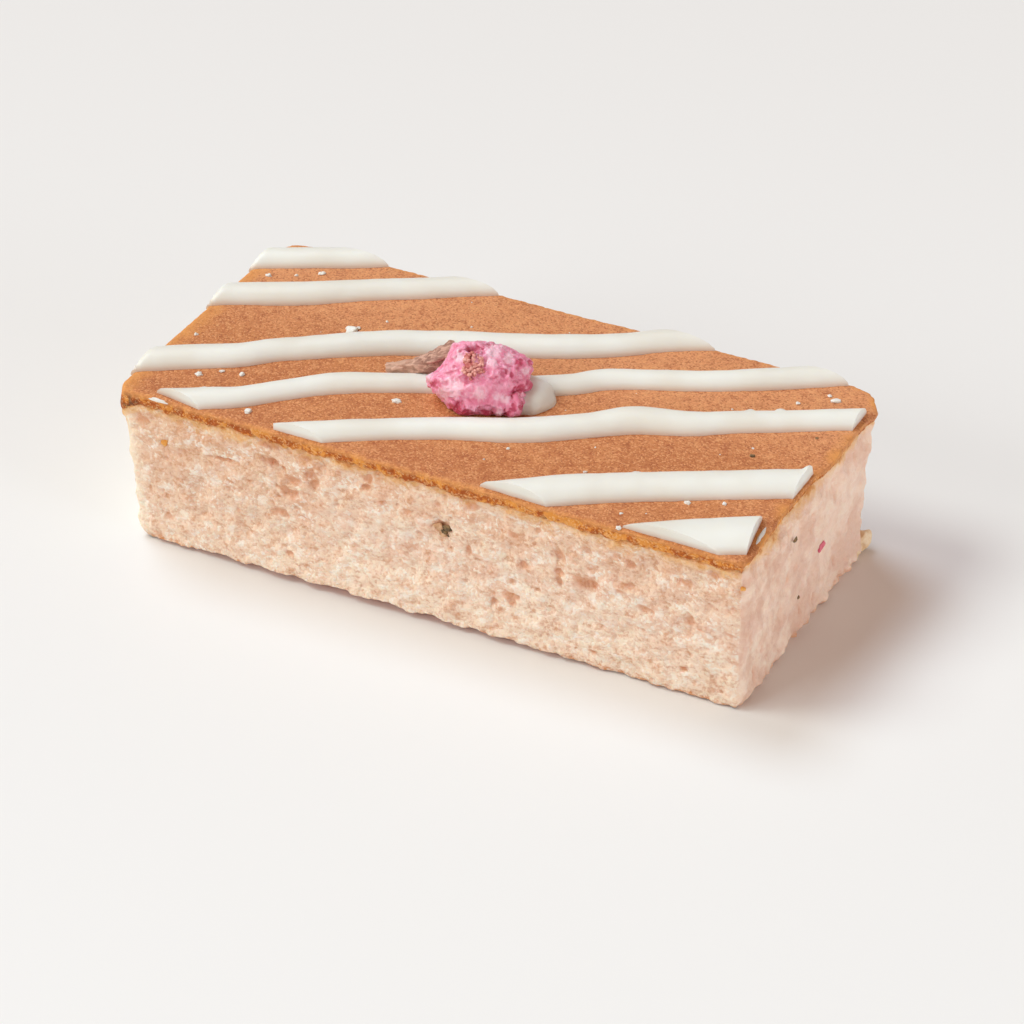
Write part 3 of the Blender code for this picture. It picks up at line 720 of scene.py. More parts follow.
def petal_material():
    """Salted wet crumpled petals: pink, crimson and pale, painted shade in creases, painted highlights on
    folds.
    """
    paint = Paint("salted petal")
    fine = paint.grain(0.22 * MM, 3, 0.6)
    small = paint.grain(0.8 * MM, 3, 0.6)
    crimson_and_shade = paint.plus(paint.attribute("crimson_and_shade"), paint.swing(small, 0.5))
    pale_and_highlight = paint.plus(paint.attribute("pale_and_highlight"), paint.swing(small, 0.8))
    base = paint.coats(
        paint.mix(paint.between(small, 0.40, 0.62), PETAL_ROSE, PETAL_PINK),
        # pale parts with painted highlights on the folds, crimson parts with painted shade in the creases
        (pale_and_highlight, 0.25, 1.0, 0.70, PETAL_PALE_AND_HIGHLIGHT),
        (crimson_and_shade, 0.45, 1.0, 0.85, PETAL_CRIMSON_AND_SHADE),
        # painted highlights in fine specks
        (fine, 0.56, 0.74, 0.35, PETAL_PALE_AND_HIGHLIGHT),
    )
    folds = paint.plus(paint.times(fine, 0.6), paint.grain(0.45 * MM, 2, 0.5))
    return paint.finish(base, 0.28, paint.bump(folds, 0.22 * MM), 0.65, (0.4, (1.0, 0.4, 0.5), 1.0 * MM))


def speckled_material(name, first, second, size, depth):
    """Two colours in small lumps, for the stamens, the flecks and the pale crumbs."""
    paint = Paint(name)
    lumps = paint.grain(size * MM, 3, 0.6)
    base = paint.mix(paint.between(lumps, 0.38, 0.62), first, second)
    return paint.finish(base, 0.8, paint.bump(lumps, depth * MM))


def calyx_material():
    """The dried calyx: grey-brown, in fibres along the stem, paler towards its tip."""
    paint = Paint("brown calyx")
    turned = paint.node("Mapping", {"Vector": paint.place, "Rotation": (0, 0, -SLANT)})[0]
    fibres = paint.grain(0.32 * MM, 3, 0.6, paint.stretched((0.16, 1, 1), turned))
    lumps = paint.grain(0.8 * MM, 2, 0.6)
    base = paint.coats(
        paint.mix(paint.between(fibres, 0.36, 0.62), CALYX_DARK, CALYX_PALE),
        (lumps, 0.46, 0.34, 0.6, CALYX_DARK),
        (paint.axis("X", turned), -11 * MM, -15 * MM, 0.5, CALYX_TIP),
    )
    return paint.finish(base, 0.8, paint.bump(fibres, 0.3 * MM))


def mesh_of(bm, name):
    """A bmesh as a mesh; the bmesh is freed."""
    mesh = bpy.data.meshes.new(name)
    bm.to_mesh(mesh)
    bm.free()
    return mesh


def add_object(name, data):
    obj = bpy.data.objects.new(name, data)
    bpy.context.scene.collection.objects.link(obj)
    return obj


def take_shape(holder):
    """The shape that a helper object ends up with, as a bmesh; the object is removed."""
    bpy.context.view_layer.update()
    graph = bpy.context.evaluated_depsgraph_get()
    mesh = bpy.data.meshes.new_from_object(holder.evaluated_get(graph))
    bpy.data.objects.remove(holder, do_unlink=True)
    bm = bmesh.new()
    bm.from_mesh(mesh)
    bpy.data.meshes.remove(mesh)
    return bm


def make_piece(name, bm, material, stands_for):
    """Finishes one piece: outward faces, its place in the frame, and what it stands for."""
    bmesh.ops.recalc_face_normals(bm, faces=bm.faces)
    bmesh.ops.translate(bm, vec=SHIFT, verts=bm.verts)
    mesh = mesh_of(bm, name)
    mesh.materials.append(material)
    mesh.shade_smooth()
    mesh.set_sharp_from_angle(angle=SHARP)
    obj = add_object(name, mesh)
    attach(obj, "root")
    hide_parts(stands_for)


def seat(bm, centre, spin=Matrix(), size=(1, 1, 1)):
    """Scales a whole shape, turns it and moves it to its place."""
    place = Matrix.Translation(centre) @ spin @ Matrix.Diagonal((*size, 1))
    bmesh.ops.transform(bm, matrix=place, verts=bm.verts)


def add_shape(bm, other):
    """Adds another bmesh's shape to this one."""
    mesh = mesh_of(other, "joined")
    bm.from_mesh(mesh)
    bpy.data.meshes.remove(mesh)


def swell(bm, height_at):
    """Moves each vertex out along its normal, by what height_at gives for its place."""
    bm.normal_update()
    moves = [vert.normal * height_at(vert.co) for vert in bm.verts]
    for vert, move in zip(bm.verts, moves):
        vert.co += move


def cut_off(bm, point, facing):
    """Cuts away what lies beyond a plane, on the side it faces, and closes the cut."""
    geometry = [*bm.verts, *bm.edges, *bm.faces]
    cut = bmesh.ops.bisect_plane(
        bm, geom=geometry, dist=NEGLIGIBLE, plane_co=point, plane_no=facing, clear_outer=True
    )
    edges = [item for item in cut["geom_cut"] if isinstance(item, bmesh.types.BMEdge)]
    if edges:
        bmesh.ops.holes_fill(bm, edges=edges, sides=0)


def make_dents():
    """The solid's own broad dents, drawn the same way."""
    draw = random.Random(4)
    dents = []
    for side, count in DENTS.items():
        for _ in range(count):
            share = draw.uniform(-DENT_SPREAD, DENT_SPREAD)
            z = HEIGHT * (DENT_FROM + DENT_SPAN * math.sqrt(draw.random()))
            radius = draw.uniform(*DENT_RADIUS)
            if side == "right":
                centre = Vector((LENGTH / 2, share * WIDTH, z))
            else:
                centre = Vector((share * LENGTH, WIDTH / 2 * FACING[side][1], z))
            dents.append((centre, radius))
    return dents


def dent_depth(point, dents):
    depth = 0.0
    for centre, radius in dents:
        away = (point - centre).length / radius
        if away < 1:
            depth += DENT_DEPTH * radius * (1 - away * away)
    return depth


def make_pores():
    """Pores of each cut side, filed by where they are: (across, up, half width, half height, depth)."""
    draw = random.Random(11)
    pores = {"front": [mm(*pore) for pore in FRONT_PORES], "right": [mm(*pore) for pore in RIGHT_PORES]}
    pores["back"] = []
    for side, (count, wide, tall) in FINE_PORES.items():
        reach = (WIDTH if side == "right" else LENGTH) * FINE_PORE_REACH
        for _ in range(count):
            up = HEIGHT * (FINE_PORE_FROM + FINE_PORE_SPAN * draw.random() ** FINE_PORE_CROWD)
            radius = draw.uniform(*FINE_PORE_RADIUS) * (FINE_PORE_START + FINE_PORE_GROWTH * up / HEIGHT)
            sizes = [radius * draw.uniform(*span) for span in (wide, tall, FINE_PORE_DEPTH)]
            pores[side].append([draw.uniform(-reach, reach), up, *sizes])
    for _ in range(BACK_PORES):
        place = draw.uniform(-BACK_REACH, BACK_REACH), draw.uniform(*BACK_HEIGHTS)
        pores["back"].append(mm(*place, draw.uniform(*BACK_WIDTHS), BACK_TALL, BACK_DEEP))
    filed = {}
    for side, found in pores.items():
        for pore in found:
            key = (side, round(pore[0] / PORE_CELL), round(pore[1] / PORE_CELL))
            filed.setdefault(key, []).append(pore)
    return filed


def pore_at(side, across, point, pores):
    """(how deep the pores are at this point of the side, how much painted shade it has in one, 0 to 1)."""
    column, row = round(across / PORE_CELL), round(point.z / PORE_CELL)
    deepest, inside = 0.0, 0.0
    ragged = 1 + PORE_RAGGED * noise.noise(point / PORE_RIM)
    for i in (column - 1, column, column + 1):
        for j in (row - 1, row, row + 1):
            for u, v, wide, tall, depth in pores.get((side, i, j), ()):
                away = math.hypot((across - u) / wide, (point.z - v) / tall) * ragged
                if away < 1:
                    deepest = max(deepest, PORE_SHARE * depth * (1 - away * away))
                    # painted shade: fuller further inside a pore and in deeper pores
                    inside = max(inside, (1 - away * away) * min(1, depth / PORE_FULL_SHADE_DEPTH))
    return deepest, inside


def side_gaps(x, y):
    """How far a point of the square block is from each side."""
    return {
        "front": y + WIDTH / 2,
        "back": WIDTH / 2 - y,
        "right": LENGTH / 2 - x,
        "left": x + LENGTH / 2,
    }


def worn(x, y):
    """(side, the way it faces, x, y) of a point of the square block, once its corners are worn round.

    A point of the top, away from the corners, faces no way.
    """
    for end, flank, radius in CORNERS:
        u = (end * x - (LENGTH / 2 - radius)) / radius
        v = (flank * y - (WIDTH / 2 - radius)) / radius
        if u > 0 and v > 0:
            along, across = u * math.sqrt(1 - v * v / 2), v * math.sqrt(1 - u * u / 2)
            by_end = "right" if end > 0 else "left"
            by_flank = "back" if flank > 0 else "front"
            return (
                by_end if u > v else by_flank,
                Vector((end * along, flank * across, 0)).normalized(),
                end * (LENGTH / 2 - radius + radius * along),
                flank * (WIDTH / 2 - radius + radius * across),
            )
    gaps = side_gaps(x, y)
    side = min(gaps, key=gaps.get)
    if gaps[side] < ON_SIDE:
        return side, Vector(FACING[side]), x, y
    return "top", Vector(), x, y


def lean(x, y, z):
    """How far the right end leans out and is worn, and the left end follows the tin, at a point."""
    right_share = max(0.0, x / LENGTH + 0.5)
    rise = z / HEIGHT - LEAN_FROM
    move = right_share * (y / WIDTH + 0.5) * END_LEAN * (rise if rise > 0 else -LEAN_BELOW * rise)
    wear = near(HEIGHT - z, RIGHT_EDGE_DEPTH)
    move += right_share**RIGHT_EDGE_FADE * wear * along_table(RIGHT_EDGE, y / MM) * MM
    left_share = near(x + LENGTH / 2, TIN_WALL_REACH)
    belly = TIN_BELLY * (1 - (2 * y / WIDTH) ** TIN_BELLY_FLAT)
    return move + left_share * (along_table(TIN_WALL, z / MM) * MM - belly)


def make_block(low, high, rows, open_top):
    """A block of the bar's plan between two heights, open below, with its faces in even cells."""
    size = Vector((LENGTH, WIDTH, high - low))
    bm = bmesh.new()
    bmesh.ops.create_cube(bm, size=1)
    seat(bm, (0, 0, (low + high) / 2), size=size)
    bm.normal_update()
    ends = [face for face in bm.faces if face.normal.z < -0.5 or (open_top and face.normal.z > 0.5)]
    bmesh.ops.delete(bm, geom=ends, context="FACES_ONLY")
    for axis, count in enumerate((round(LENGTH / CELL), round(WIDTH / CELL), rows)):
        edges = [e for e in bm.edges if abs(e.verts[0].co[axis] - e.verts[1].co[axis]) > 0.5 * size[axis]]
        bmesh.ops.subdivide_edges(bm, edges=edges, cuts=count - 1, use_grid_fill=True)
    return bm


def close_rims(bm):
    rims = [edge for edge in bm.edges if edge.is_boundary]
    bmesh.ops.holes_fill(bm, edges=rims, sides=0)


def cut_relief(side, point):
    """The fine relief of a knife cut; the corner of the front and the right side crumbles in step."""
    x, y, z = point
    fine = relief(point, *CUT_GRAIN)
    to_corner = {"front": LENGTH / 2 - x, "right": y + WIDTH / 2, "back": WIDTH}[side]
    if side == "right":
        streaks = RIGHT_STREAKS * noise.noise(Vector((y / STREAK_WIDE, z / STREAK_TALL, 7.0)))
        height, size = RIGHT_GRAIN
        lumps = height * MM * noise.noise(point / (size * MM) + Vector((9, 0, 0)))
        fine = RIGHT_SMOOTHS * fine + lumps + streaks
    return fine + near(to_corner, CORNER_CRUMBLE_REACH) * relief(Vector((0, 0, z)), CORNER_CRUMBLE)


def foot_relief(side, point):
    """How the foot is rounded and ragged, and stands out a little at the left of the front."""
    x, _, z = point
    foot = near(z, RIGHT_FOOT_ROUND if side == "right" else FOOT_ROUND)
    move = relief(point, FOOT_RAGGED) * foot - FOOT_TUCK * quarter_round(foot)
    if side == "right":
        move += relief(point, RIGHT_FOOT_RAGGED) * foot
    if side == "front":
        move += FOOT_BULGE * (1 - z / HEIGHT) ** 2 * (0.5 - x / LENGTH)
    return move


def make_crumb(material):
    """The bar up to its crust: open crumb on three sides, and the skin baked against the tin."""
    bm = make_block(0, HEIGHT - CRUST_COVER, round((HEIGHT - CRUST_COVER) / CELL), open_top=True)
    pore_shade_share, in_skin, on_right, underside = (
        bm.verts.layers.float.new(name) for name in ("pore", "skin", "right_side", "underside")
    )
    dents, pores = make_dents(), make_pores()
    for vert in bm.verts:
        side, out, x, y = worn(vert.co.x, vert.co.y)
        z = vert.co.z
        point = Vector((x, y, z))
        right = side == "right"
        depth = relief(point, *CRAGS) - dent_depth(point, dents)
        if side == "left":
            depth = TIN_SMOOTHS * depth + relief(point, TIN_GRAIN)
            vert[in_skin] = 1.0
        else:
            deep, vert[pore_shade_share] = pore_at(side, y if right else x, point, pores)
            depth += cut_relief(side, point) - deep
            vert[on_right] = float(right)
            if not right:
                vert[in_skin] = near(x + LENGTH / 2 + relief(point, SKIN_WANDER), SKIN_REACH) ** SKIN_FADE
        depth += foot_relief(side, point)
        if side == "front":
            # the long bottom edge stands a little off the floor in the middle
            middle = near((x - GAP_AT) ** 2, GAP_HALF**2)
            ragged = 1 + GAP_RAGGED * noise.noise(Vector((x, 0, 0)) / GAP_WANDER)
            lift = FOOT_GAP * middle * ragged + GAP_LEAST
            depth += GAP_PUSH * middle * near(z, GAP_PUSH_HEIGHT) - GAP_DEPTH * near(z, lift)
            vert[underside] = min(1.0, UNDERSIDE_SHARP * near(z, lift))
        tuck_height, tuck = (RIGHT_TUCK_HEIGHT, RIGHT_TUCK) if right else (TOP_TUCK_HEIGHT, TOP_TUCK)
        depth -= tuck * min(1.0, TUCK_STEEP * near(HEIGHT - z, tuck_height))
        vert.co = point + out * depth
        vert.co.x += lean(x, y, z)
    close_rims(bm)
    make_piece("crumb", bm, material, "cake")


def edge_glow(y, gaps):
    """How golden the top is, 0 to 1, from how near it is to each side."""
    patchy = min(1.0, GLOW_REST + GLOW_SWING * noise.noise(Vector((0, y, 0)) / GLOW_PATCH))
    glows = [share * near(gaps[side], reach * MM) for side, (share, reach) in GLOW.items()]
    return max(patchy * near(gaps["right"], RIGHT_GLOW_REACH), *glows)


def make_crust(material):
    """The browned crust: a skin over the top that rolls over at its edges."""
    bm = make_block(HEIGHT - BAND_DEPTH, HEIGHT, BAND_ROWS, open_top=False)
    at_side, at_edge, burnt, on_right = (
        bm.verts.layers.float.new(name) for name in ("side", "edge", "burnt", "right_side")
    )
    for vert in bm.verts:
        gaps = side_gaps(vert.co.x, vert.co.y)
        side, out, x, y = worn(vert.co.x, vert.co.y)
        z = vert.co.z
        point = Vector((x, y, z))
        down = (HEIGHT - z) / BAND_DEPTH
        if side == "right":
            z = HEIGHT - down * RIGHT_BAND_DEPTH
        if side == "front":
            # the crust reaches further down at the tin
            z -= down * CORNER_BAND * near(x + LENGTH / 2, CORNER_BAND_REACH)
        if side == "top":
            # the top near a side follows that side's relief
            out = Vector(FACING[min(gaps, key=gaps.get)])
        follow = CRUST_FOLLOWS * relief(Vector((x, y, HEIGHT)), *CRAGS)
        jut = CRUST_JUT + follow + relief(point, JUT_GRAIN)
        if side in ("left", "right"):
            jut *= END_JUT
        tuck = BAND_TUCK * down + HEM_TUCK * max(0.0, (down - HEM_FROM) / (1 - HEM_FROM)) ** 2
        z -= down * relief(Vector((x, y, 0)), *HEM) * (RIGHT_HEM if side == "right" else 1.0)
        if down < 0.01:
            z += relief(point, *TOP_SWELL)
        for name, (radius, drop) in RIMS.items():
            z -= drop * MM * quarter_round(near(gaps[name], radius * MM))
        vert.co = Vector((x, y, z)) + out * (jut - tuck) * near(min(gaps.values()), JUT_REACH)
        vert.co.x += lean(x, y, vert.co.z)
        spot = Vector((x, y, z))
        vert[at_side] = down * (LEFT_BAND if side == "left" else 1.0)
        vert[on_right] = float(side == "right")
        vert[at_edge] = edge_glow(y, gaps)
        charred = BURNT_MOST * near((spot - BURNT_AT).length, BURNT_REACH)
        specks = max(0.0, BURNT_REST + BURNT_SWING * noise.noise(spot / BURNT_GRAIN))
        vert[burnt] = min(1.0, charred * specks)
    close_rims(bm)
    make_piece("crust", bm, material, "cake")


def on_top(along, across, height=0.0):
    """A point over the crust, from millimetres along and across the slant of the lines."""
    return Vector(((along * COS - across * SIN) * MM, (along * SIN + across * COS) * MM, HEIGHT + height))


def smooth_run(points, step):
    """Points about a step apart on a smooth curve through the given ones (Catmull-Rom)."""
    ends = [Vector(point) for point in points]
    padded = [2 * ends[0] - ends[1], *ends, 2 * ends[-1] - ends[-2]]
    run = []
    for a, b, c, d in zip(padded, padded[1:], padded[2:], padded[3:]):
        count = max(2, round((c - b).length / step))
        for i in range(count):
            t = i / count
            bend = (2 * a - 5 * b + 4 * c - d) * t**2 + (3 * b - a - 3 * c + d) * t**3
            run.append(0.5 * (2 * b + (c - a) * t + bend))
    return [*run, ends[-1]]


def make_tube(centres, radii, flatten=1.0, roundness=7):
    """A closed tube through the centres, flattened in height about its first centre."""
    curve = bpy.data.curves.new("tube", "CURVE")
    curve.dimensions = "3D"
    curve.bevel_depth = 1.0
    curve.bevel_resolution = roundness
    curve.use_fill_caps = True
    spline = curve.splines.new("POLY")
    spline.points.add(len(centres) - 1)
    for point, centre, radius in zip(spline.points, centres, radii):
        point.co = (*centre, 1)
        point.radius = radius
    bm = take_shape(add_object("tube", curve))
    bpy.data.curves.remove(curve)
    bmesh.ops.remove_doubles(bm, verts=bm.verts, dist=NEGLIGIBLE)
    middle = centres[0].z
    for vert in bm.verts:
        vert.co.z = middle + (vert.co.z - middle) * flatten
    return bm


def make_ball(centre, size, rings, turn=0.0, tilt=0.0):
    """A ball with three half sizes, turned from the slant of the lines."""
    bm = bmesh.new()
    bmesh.ops.create_uvsphere(bm, u_segments=2 * rings, v_segments=rings, radius=1)
    seat(bm, centre, Matrix.Rotation(SLANT + turn, 4, "Z") @ Matrix.Rotation(tilt, 4, "Y"), size)
    return bm


def make_lobe(row, rings):
    """A folded petal end or a scrap of sepal, from its row."""
    along, across, height, size, turn, tilt = row
    return make_ball(on_top(along, across, height * MM), mm(*size), rings, turn, tilt)


def cut_between(bm, start, end, goes):
    """Cuts upright through two points (x, y); what goes lies to the right of the way (1) or left (-1)."""
    start, end = Vector((*mm(*start), 0)), Vector((*mm(*end), 0))
    way = (end - start).normalized()
    cut_off(bm, start, goes * Vector((way.y, -way.x, 0)))


def cut_root(bm):
    """Cuts chocolate off level, just under the crust."""
    cut_off(bm, Vector((0, 0, HEIGHT - LINE_ROOT)), Vector((0, 0, -1)))


def make_line(number, rise, points, material):
    """One line: a bead of chocolate, cut flush with the bar's sides."""
    run = smooth_run(points, LINE_STEP)
    centres = [on_top(along, across, -LINE_SINK) for along, across, _ in run]
    bm = make_tube(centres, [half * MM for _, _, half in run], rise)
    bumps = [bump[1:] for bump in LINE_BUMPS if bump[0] == number]

    def wobble(place):
        lumps = relief(place, *LINE_WOBBLE)
        for along, across, radius, height in bumps:
            away = (place - on_top(along, across, BUMP_HEIGHT)).length / (radius * MM)
            if away < 1:
                lumps += height * MM * (1 - away * away)
        return lumps

    swell(bm, wobble)
    cut_root(bm)
    cut_between(bm, *OWN_CUTS.get(number, FRONT_CUT), 1)
    if number in CROSS_CUTS:
        cut_between(bm, *CROSS_CUTS[number])
    cut_off(bm, Vector((0, TRIM_BACK, 0)), Vector((0, 1, 0)))
    cut_off(bm, Vector((TRIM_LEFT, 0, 0)), Vector((-1, 0, 0)))
    cut_off(bm, Vector((TRIM_RIGHT.get(number, LENGTH / 2), 0, 0)), Vector((1, 0, 0)))
    for vert in bm.verts:
        # the ends at the tin round down to the crust
        past = near(vert.co.x - TRIM_LEFT, LEFT_ROUND)
        if past > 0 and vert.co.z > HEIGHT:
            vert.co.z -= (vert.co.z - HEIGHT) * quarter_round(past)
    make_piece(f"line_{number}", bm, material, "cake")


def make_blob(material):
    """The blob of chocolate that holds the blossom."""
    bm = make_ball(on_top(*BLOB_AT, -LINE_SINK), BLOB_SIZE, BLOB_RINGS)
    for vert in bm.verts:
        vert.co += (vert.co - on_top(*BLOB_AT)).normalized() * relief(vert.co, *BLOB_LUMPS)
    cut_root(bm)
    make_piece("blob", bm, material, "cake")


def make_bits(name, bits, material):
    """A scatter of small rough bits on the cake, one piece: each is (centre, half sizes, turn)."""
    bm = bmesh.new()
    for centre, size, turn in bits:
        bit = bmesh.new()
        bmesh.ops.create_icosphere(bit, subdivisions=3, radius=1)
        for vert in bit.verts:
            vert.co *= 1 + BIT_ROUGH * noise.noise(vert.co * BIT_GRAIN + centre / MM)
        seat(bit, centre, Matrix.Rotation(turn, 4, "Z"), size)
        add_shape(bm, bit)
    make_piece(name, bm, material, "cake")


def make_white_crumbs(material):
    """Loose crumbs of the chocolate, three shavings at its broken ends, and dust."""
    draw = random.Random(2)
    bits = []
    for along, across, size in WHITE_CRUMBS:
        half = [size * draw.uniform(*WHITE_CRUMB_HALF) * MM for _ in range(2)]
        half.append(WHITE_CRUMB_TALL * size * MM)
        bits.append((on_top(along, across, WHITE_CRUMB_RISE * size * MM), half, draw.uniform(0, 3)))
    bits += [
        (on_top(-50.0, -2.9, 0.1 * MM), mm(1.5, 0.28, 0.25), SLANT - 0.45),
        (on_top(48.7, -2.9, 0.1 * MM), mm(0.8, 0.4, 0.3), 0.6),
        (Vector((49.2 * MM, -17.6 * MM, HEIGHT - 0.1 * MM)), mm(0.28, 1.9, 0.3), 0.10),
    ]
    for _ in range(DUST):
        spot = on_top(*(draw.uniform(-reach, reach) for reach in DUST_REACH))
        if abs(spot.x) < DUST_INSIDE[0] and abs(spot.y) < DUST_INSIDE[1]:
            bits.append((spot, mm(draw.uniform(*DUST_SIZE)) * 3, 0.0))
    make_bits("chocolate_crumbs", bits, material)


def make_flecks():
    """Dark, tan, golden and pink flecks in the crumb and on the crust, and crumbs at the foot."""

    def on_front(x, out, z):
        return Vector((x * MM, out * MM - WIDTH / 2, z * MM))

    def on_right(y, z):
        point = Vector((LENGTH / 2, y * MM, z * MM))
        point.x += lean(*point) + relief(point, *CRAGS) + 0.1 * MM
        return point

    flecks = (
        ("dark_flecks", "crust", ("dark fleck", (84, 68, 46), (142, 114, 76), 0.5, 0.2), (
            (on_front(3.9, 0.35, 16.6), mm(0.75, 0.4, 0.45), 0.0),
            (on_front(3.3, 0.4, 15.8), mm(0.5, 0.35, 0.4), 0.5),
            (on_front(4.1, 0.4, 15.4), mm(0.35, 0.3, 0.3), 0.0),
            (on_right(-8.0, 19.2), mm(0.2, 0.5, 0.35), 0.0),
            (on_right(-4.7, 7.2), mm(0.2, 0.25, 0.25), 0.0),
            (on_top(35.7, -17.7), mm(0.45, 0.4, 0.25), 0.0),
            (on_top(45.2, -13.0), mm(0.3, 0.25, 0.2), 0.0),
        )),
        ("tan_flecks", "crust", ("tan fleck", (186, 138, 98), (214, 174, 136), 0.7, 0.15), (
            (on_front(2.3, 0.45, 16.3), mm(0.9, 0.35, 0.7), 0.0),
            (on_front(3.0, 0.5, 15.2), mm(0.9, 0.35, 0.6), 0.0),
        )),
        ("golden_flecks", "crust", ("golden fleck", (226, 150, 60), (240, 184, 104), 0.6, 0.1), (
            (on_front(-43.2, 0.3, 17.5), mm(0.65, 0.35, 0.7), 0.0),
            (on_front(49.45, 0.55, 20.4), mm(0.45, 0.45, 0.35), 0.0),
        )),
        ("pink_fleck", "petal", ("pink fleck", (214, 92, 112), (226, 120, 134), 0.6, 0.1), (
            (on_right(2.2, 12.0), mm(0.25, 1.1, 0.65), 0.0),
        )),
        ("pale_foot_crumbs", "crumb", ("pale crumbs", (240, 208, 160), (250, 230, 196), 0.6, 0.15), (
            (Vector(mm(49.9, 20.6, 1.7)), mm(0.9, 1.5, 1.6), 0.0),
            (Vector(mm(49.6, 18.6, 0.9)), mm(0.7, 0.9, 0.9), 0.4),
        )),
    )
    for name, slot, looks, bits in flecks:
        make_bits(name, bits, speckled_material(*looks))


def crumple(point, offset):
    """Folds like crushed paper: from -1 in the creases to 1 on the ridges."""
    spot = point / MM + offset
    share, size = CRUSH_GRAIN
    return sum(part * ridge(spot, wide) for part, wide in CRUSH_RIDGES) + share * noise.noise(spot / size)


def as_seen(point):
    """(right, up) of a point in the photo's view, from the blossom's middle there."""
    along = (point.x * COS + point.y * SIN) / MM
    across = (point.y * COS - point.x * SIN) / MM
    height = (point.z - HEIGHT) / MM
    return (
        VIEW_ALONG * along - VIEW_MIDDLE[0],
        VIEW_ACROSS * across + VIEW_UP * height - VIEW_MIDDLE[1],
    )


def seen_spot(skin, right, up):
    """Where the photo's view meets the petals, this far from the blossom's middle."""
    along, start = (right + VIEW_MIDDLE[0]) / VIEW_ALONG, -30.0
    height = (up + VIEW_MIDDLE[1] - VIEW_ACROSS * start) / VIEW_UP
    look = Vector((-VIEW_UP * SIN, VIEW_UP * COS, -VIEW_ACROSS))
    spot, facing, _, _ = skin.ray_cast(on_top(along, start, height * MM), look.normalized())
    return spot, facing


def spot_strength(right, up, spots):
    return max(math.exp(-((right - a) ** 2 + (up - b) ** 2) / (r * r)) for a, b, r in spots)


def crush(bm, amount, offset):
    """Crumples a shape about the blossom's middle."""
    middle = on_top(*BLOSSOM_AT, CRUSH_HEIGHT)
    for vert in bm.verts:
        out = (vert.co - middle).normalized()
        vert.co += out * amount * crumple(vert.co, Vector(offset))


def fuse(bm, cell):
    """One even skin around all the shapes in a bmesh, with what lay inside gone."""
    bmesh.ops.scale(bm, vec=(1 / MM,) * 3, verts=bm.verts)
    mesh = mesh_of(bm, "fused")
    holder = add_object("fused", mesh)
    skin = holder.modifiers.new("skin", "REMESH")
    skin.mode = "VOXEL"
    skin.voxel_size = cell
    made = take_shape(holder)
    bpy.data.meshes.remove(mesh)
    bmesh.ops.scale(made, vec=(MM,) * 3, verts=made.verts)
    return made


def smooth(bm, rounds):
    for _ in range(rounds):
        bmesh.ops.smooth_vert(
            bm, verts=bm.verts, factor=0.5, use_axis_x=True, use_axis_y=True, use_axis_z=True
        )


def keep_clear(bm):
    """Keeps the blossom's parts just clear of the crust."""
    for vert in bm.verts:
        vert.co.z = max(vert.co.z, HEIGHT + BLOSSOM_CLEAR)


def fit_outline(bm):
    """Draws the blossom out, or in, to the outline that the photo's view shows."""
    steps = OUTLINE_STEPS
    reach = [0.0] * steps
    for vert in bm.verts:
        right, up = as_seen(vert.co)
        turn = int(math.degrees(math.atan2(up, right)) % 360 / 360 * steps) % steps
        reach[turn] = max(reach[turn], math.hypot(right, up))
    reach = [(reach[i - 1] + 2 * reach[i] + reach[(i + 1) % steps]) / 4 for i in range(steps)]
    slant, back = Vector((COS, SIN, 0)), Vector((-SIN, COS, 0))
    for vert in bm.verts:
        right, up = as_seen(vert.co)
        angle = math.degrees(math.atan2(up, right)) % 360
        place = angle / 360 * steps - 0.5
        low = math.floor(place)
        share = place - low
        now = reach[low % steps] * (1 - share) + reach[(low + 1) % steps] * share
        away = min(1.0, math.hypot(right, up) / now)
        pull = (along_table(OUTLINE, angle) / now - 1) * away**2 * MM
        by_height = TOP_BY_HEIGHT if up > 0 else 0.0
        vert.co += slant * (pull * right / VIEW_ALONG)
        vert.co += back * ((1 - by_height) * pull * up / VIEW_ACROSS)
        vert.co.z += by_height * pull * up / VIEW_UP


def tint_folds(bm):
    """Notes crimson and painted shade in creases, pale and painted highlights on folds, from each spot's
    relief.
    """
    rules = {"crimson_and_shade": CRIMSON_AND_SHADE_BY, "pale_and_highlight": PALE_AND_HIGHLIGHT_BY}
    layers = [(bm.verts.layers.float.new(name), rule) for name, rule in rules.items()]
    even = bm.copy()
    smooth(even, EVEN_ROUNDS)
    bm.normal_update()
    for vert, flat in zip(bm.verts, even.verts):
        height = (vert.co - flat.co).dot(vert.normal) / MM
        right, up = as_seen(vert.co)
        deep, light = (spot_strength(right, up, spots) for spots in (DEEP_SPOTS, PALE_SPOTS))
        for layer, (rest, by_height, by_deep, by_light) in layers:
            vert[layer] = min(1.0, max(0.0, rest + by_height * height + by_deep * deep + by_light * light))
    even.free()


def dome_height(spread):
    return BLOSSOM_SIZE[2] * (1 - DOME_DROP * spread**DOME_POWER)


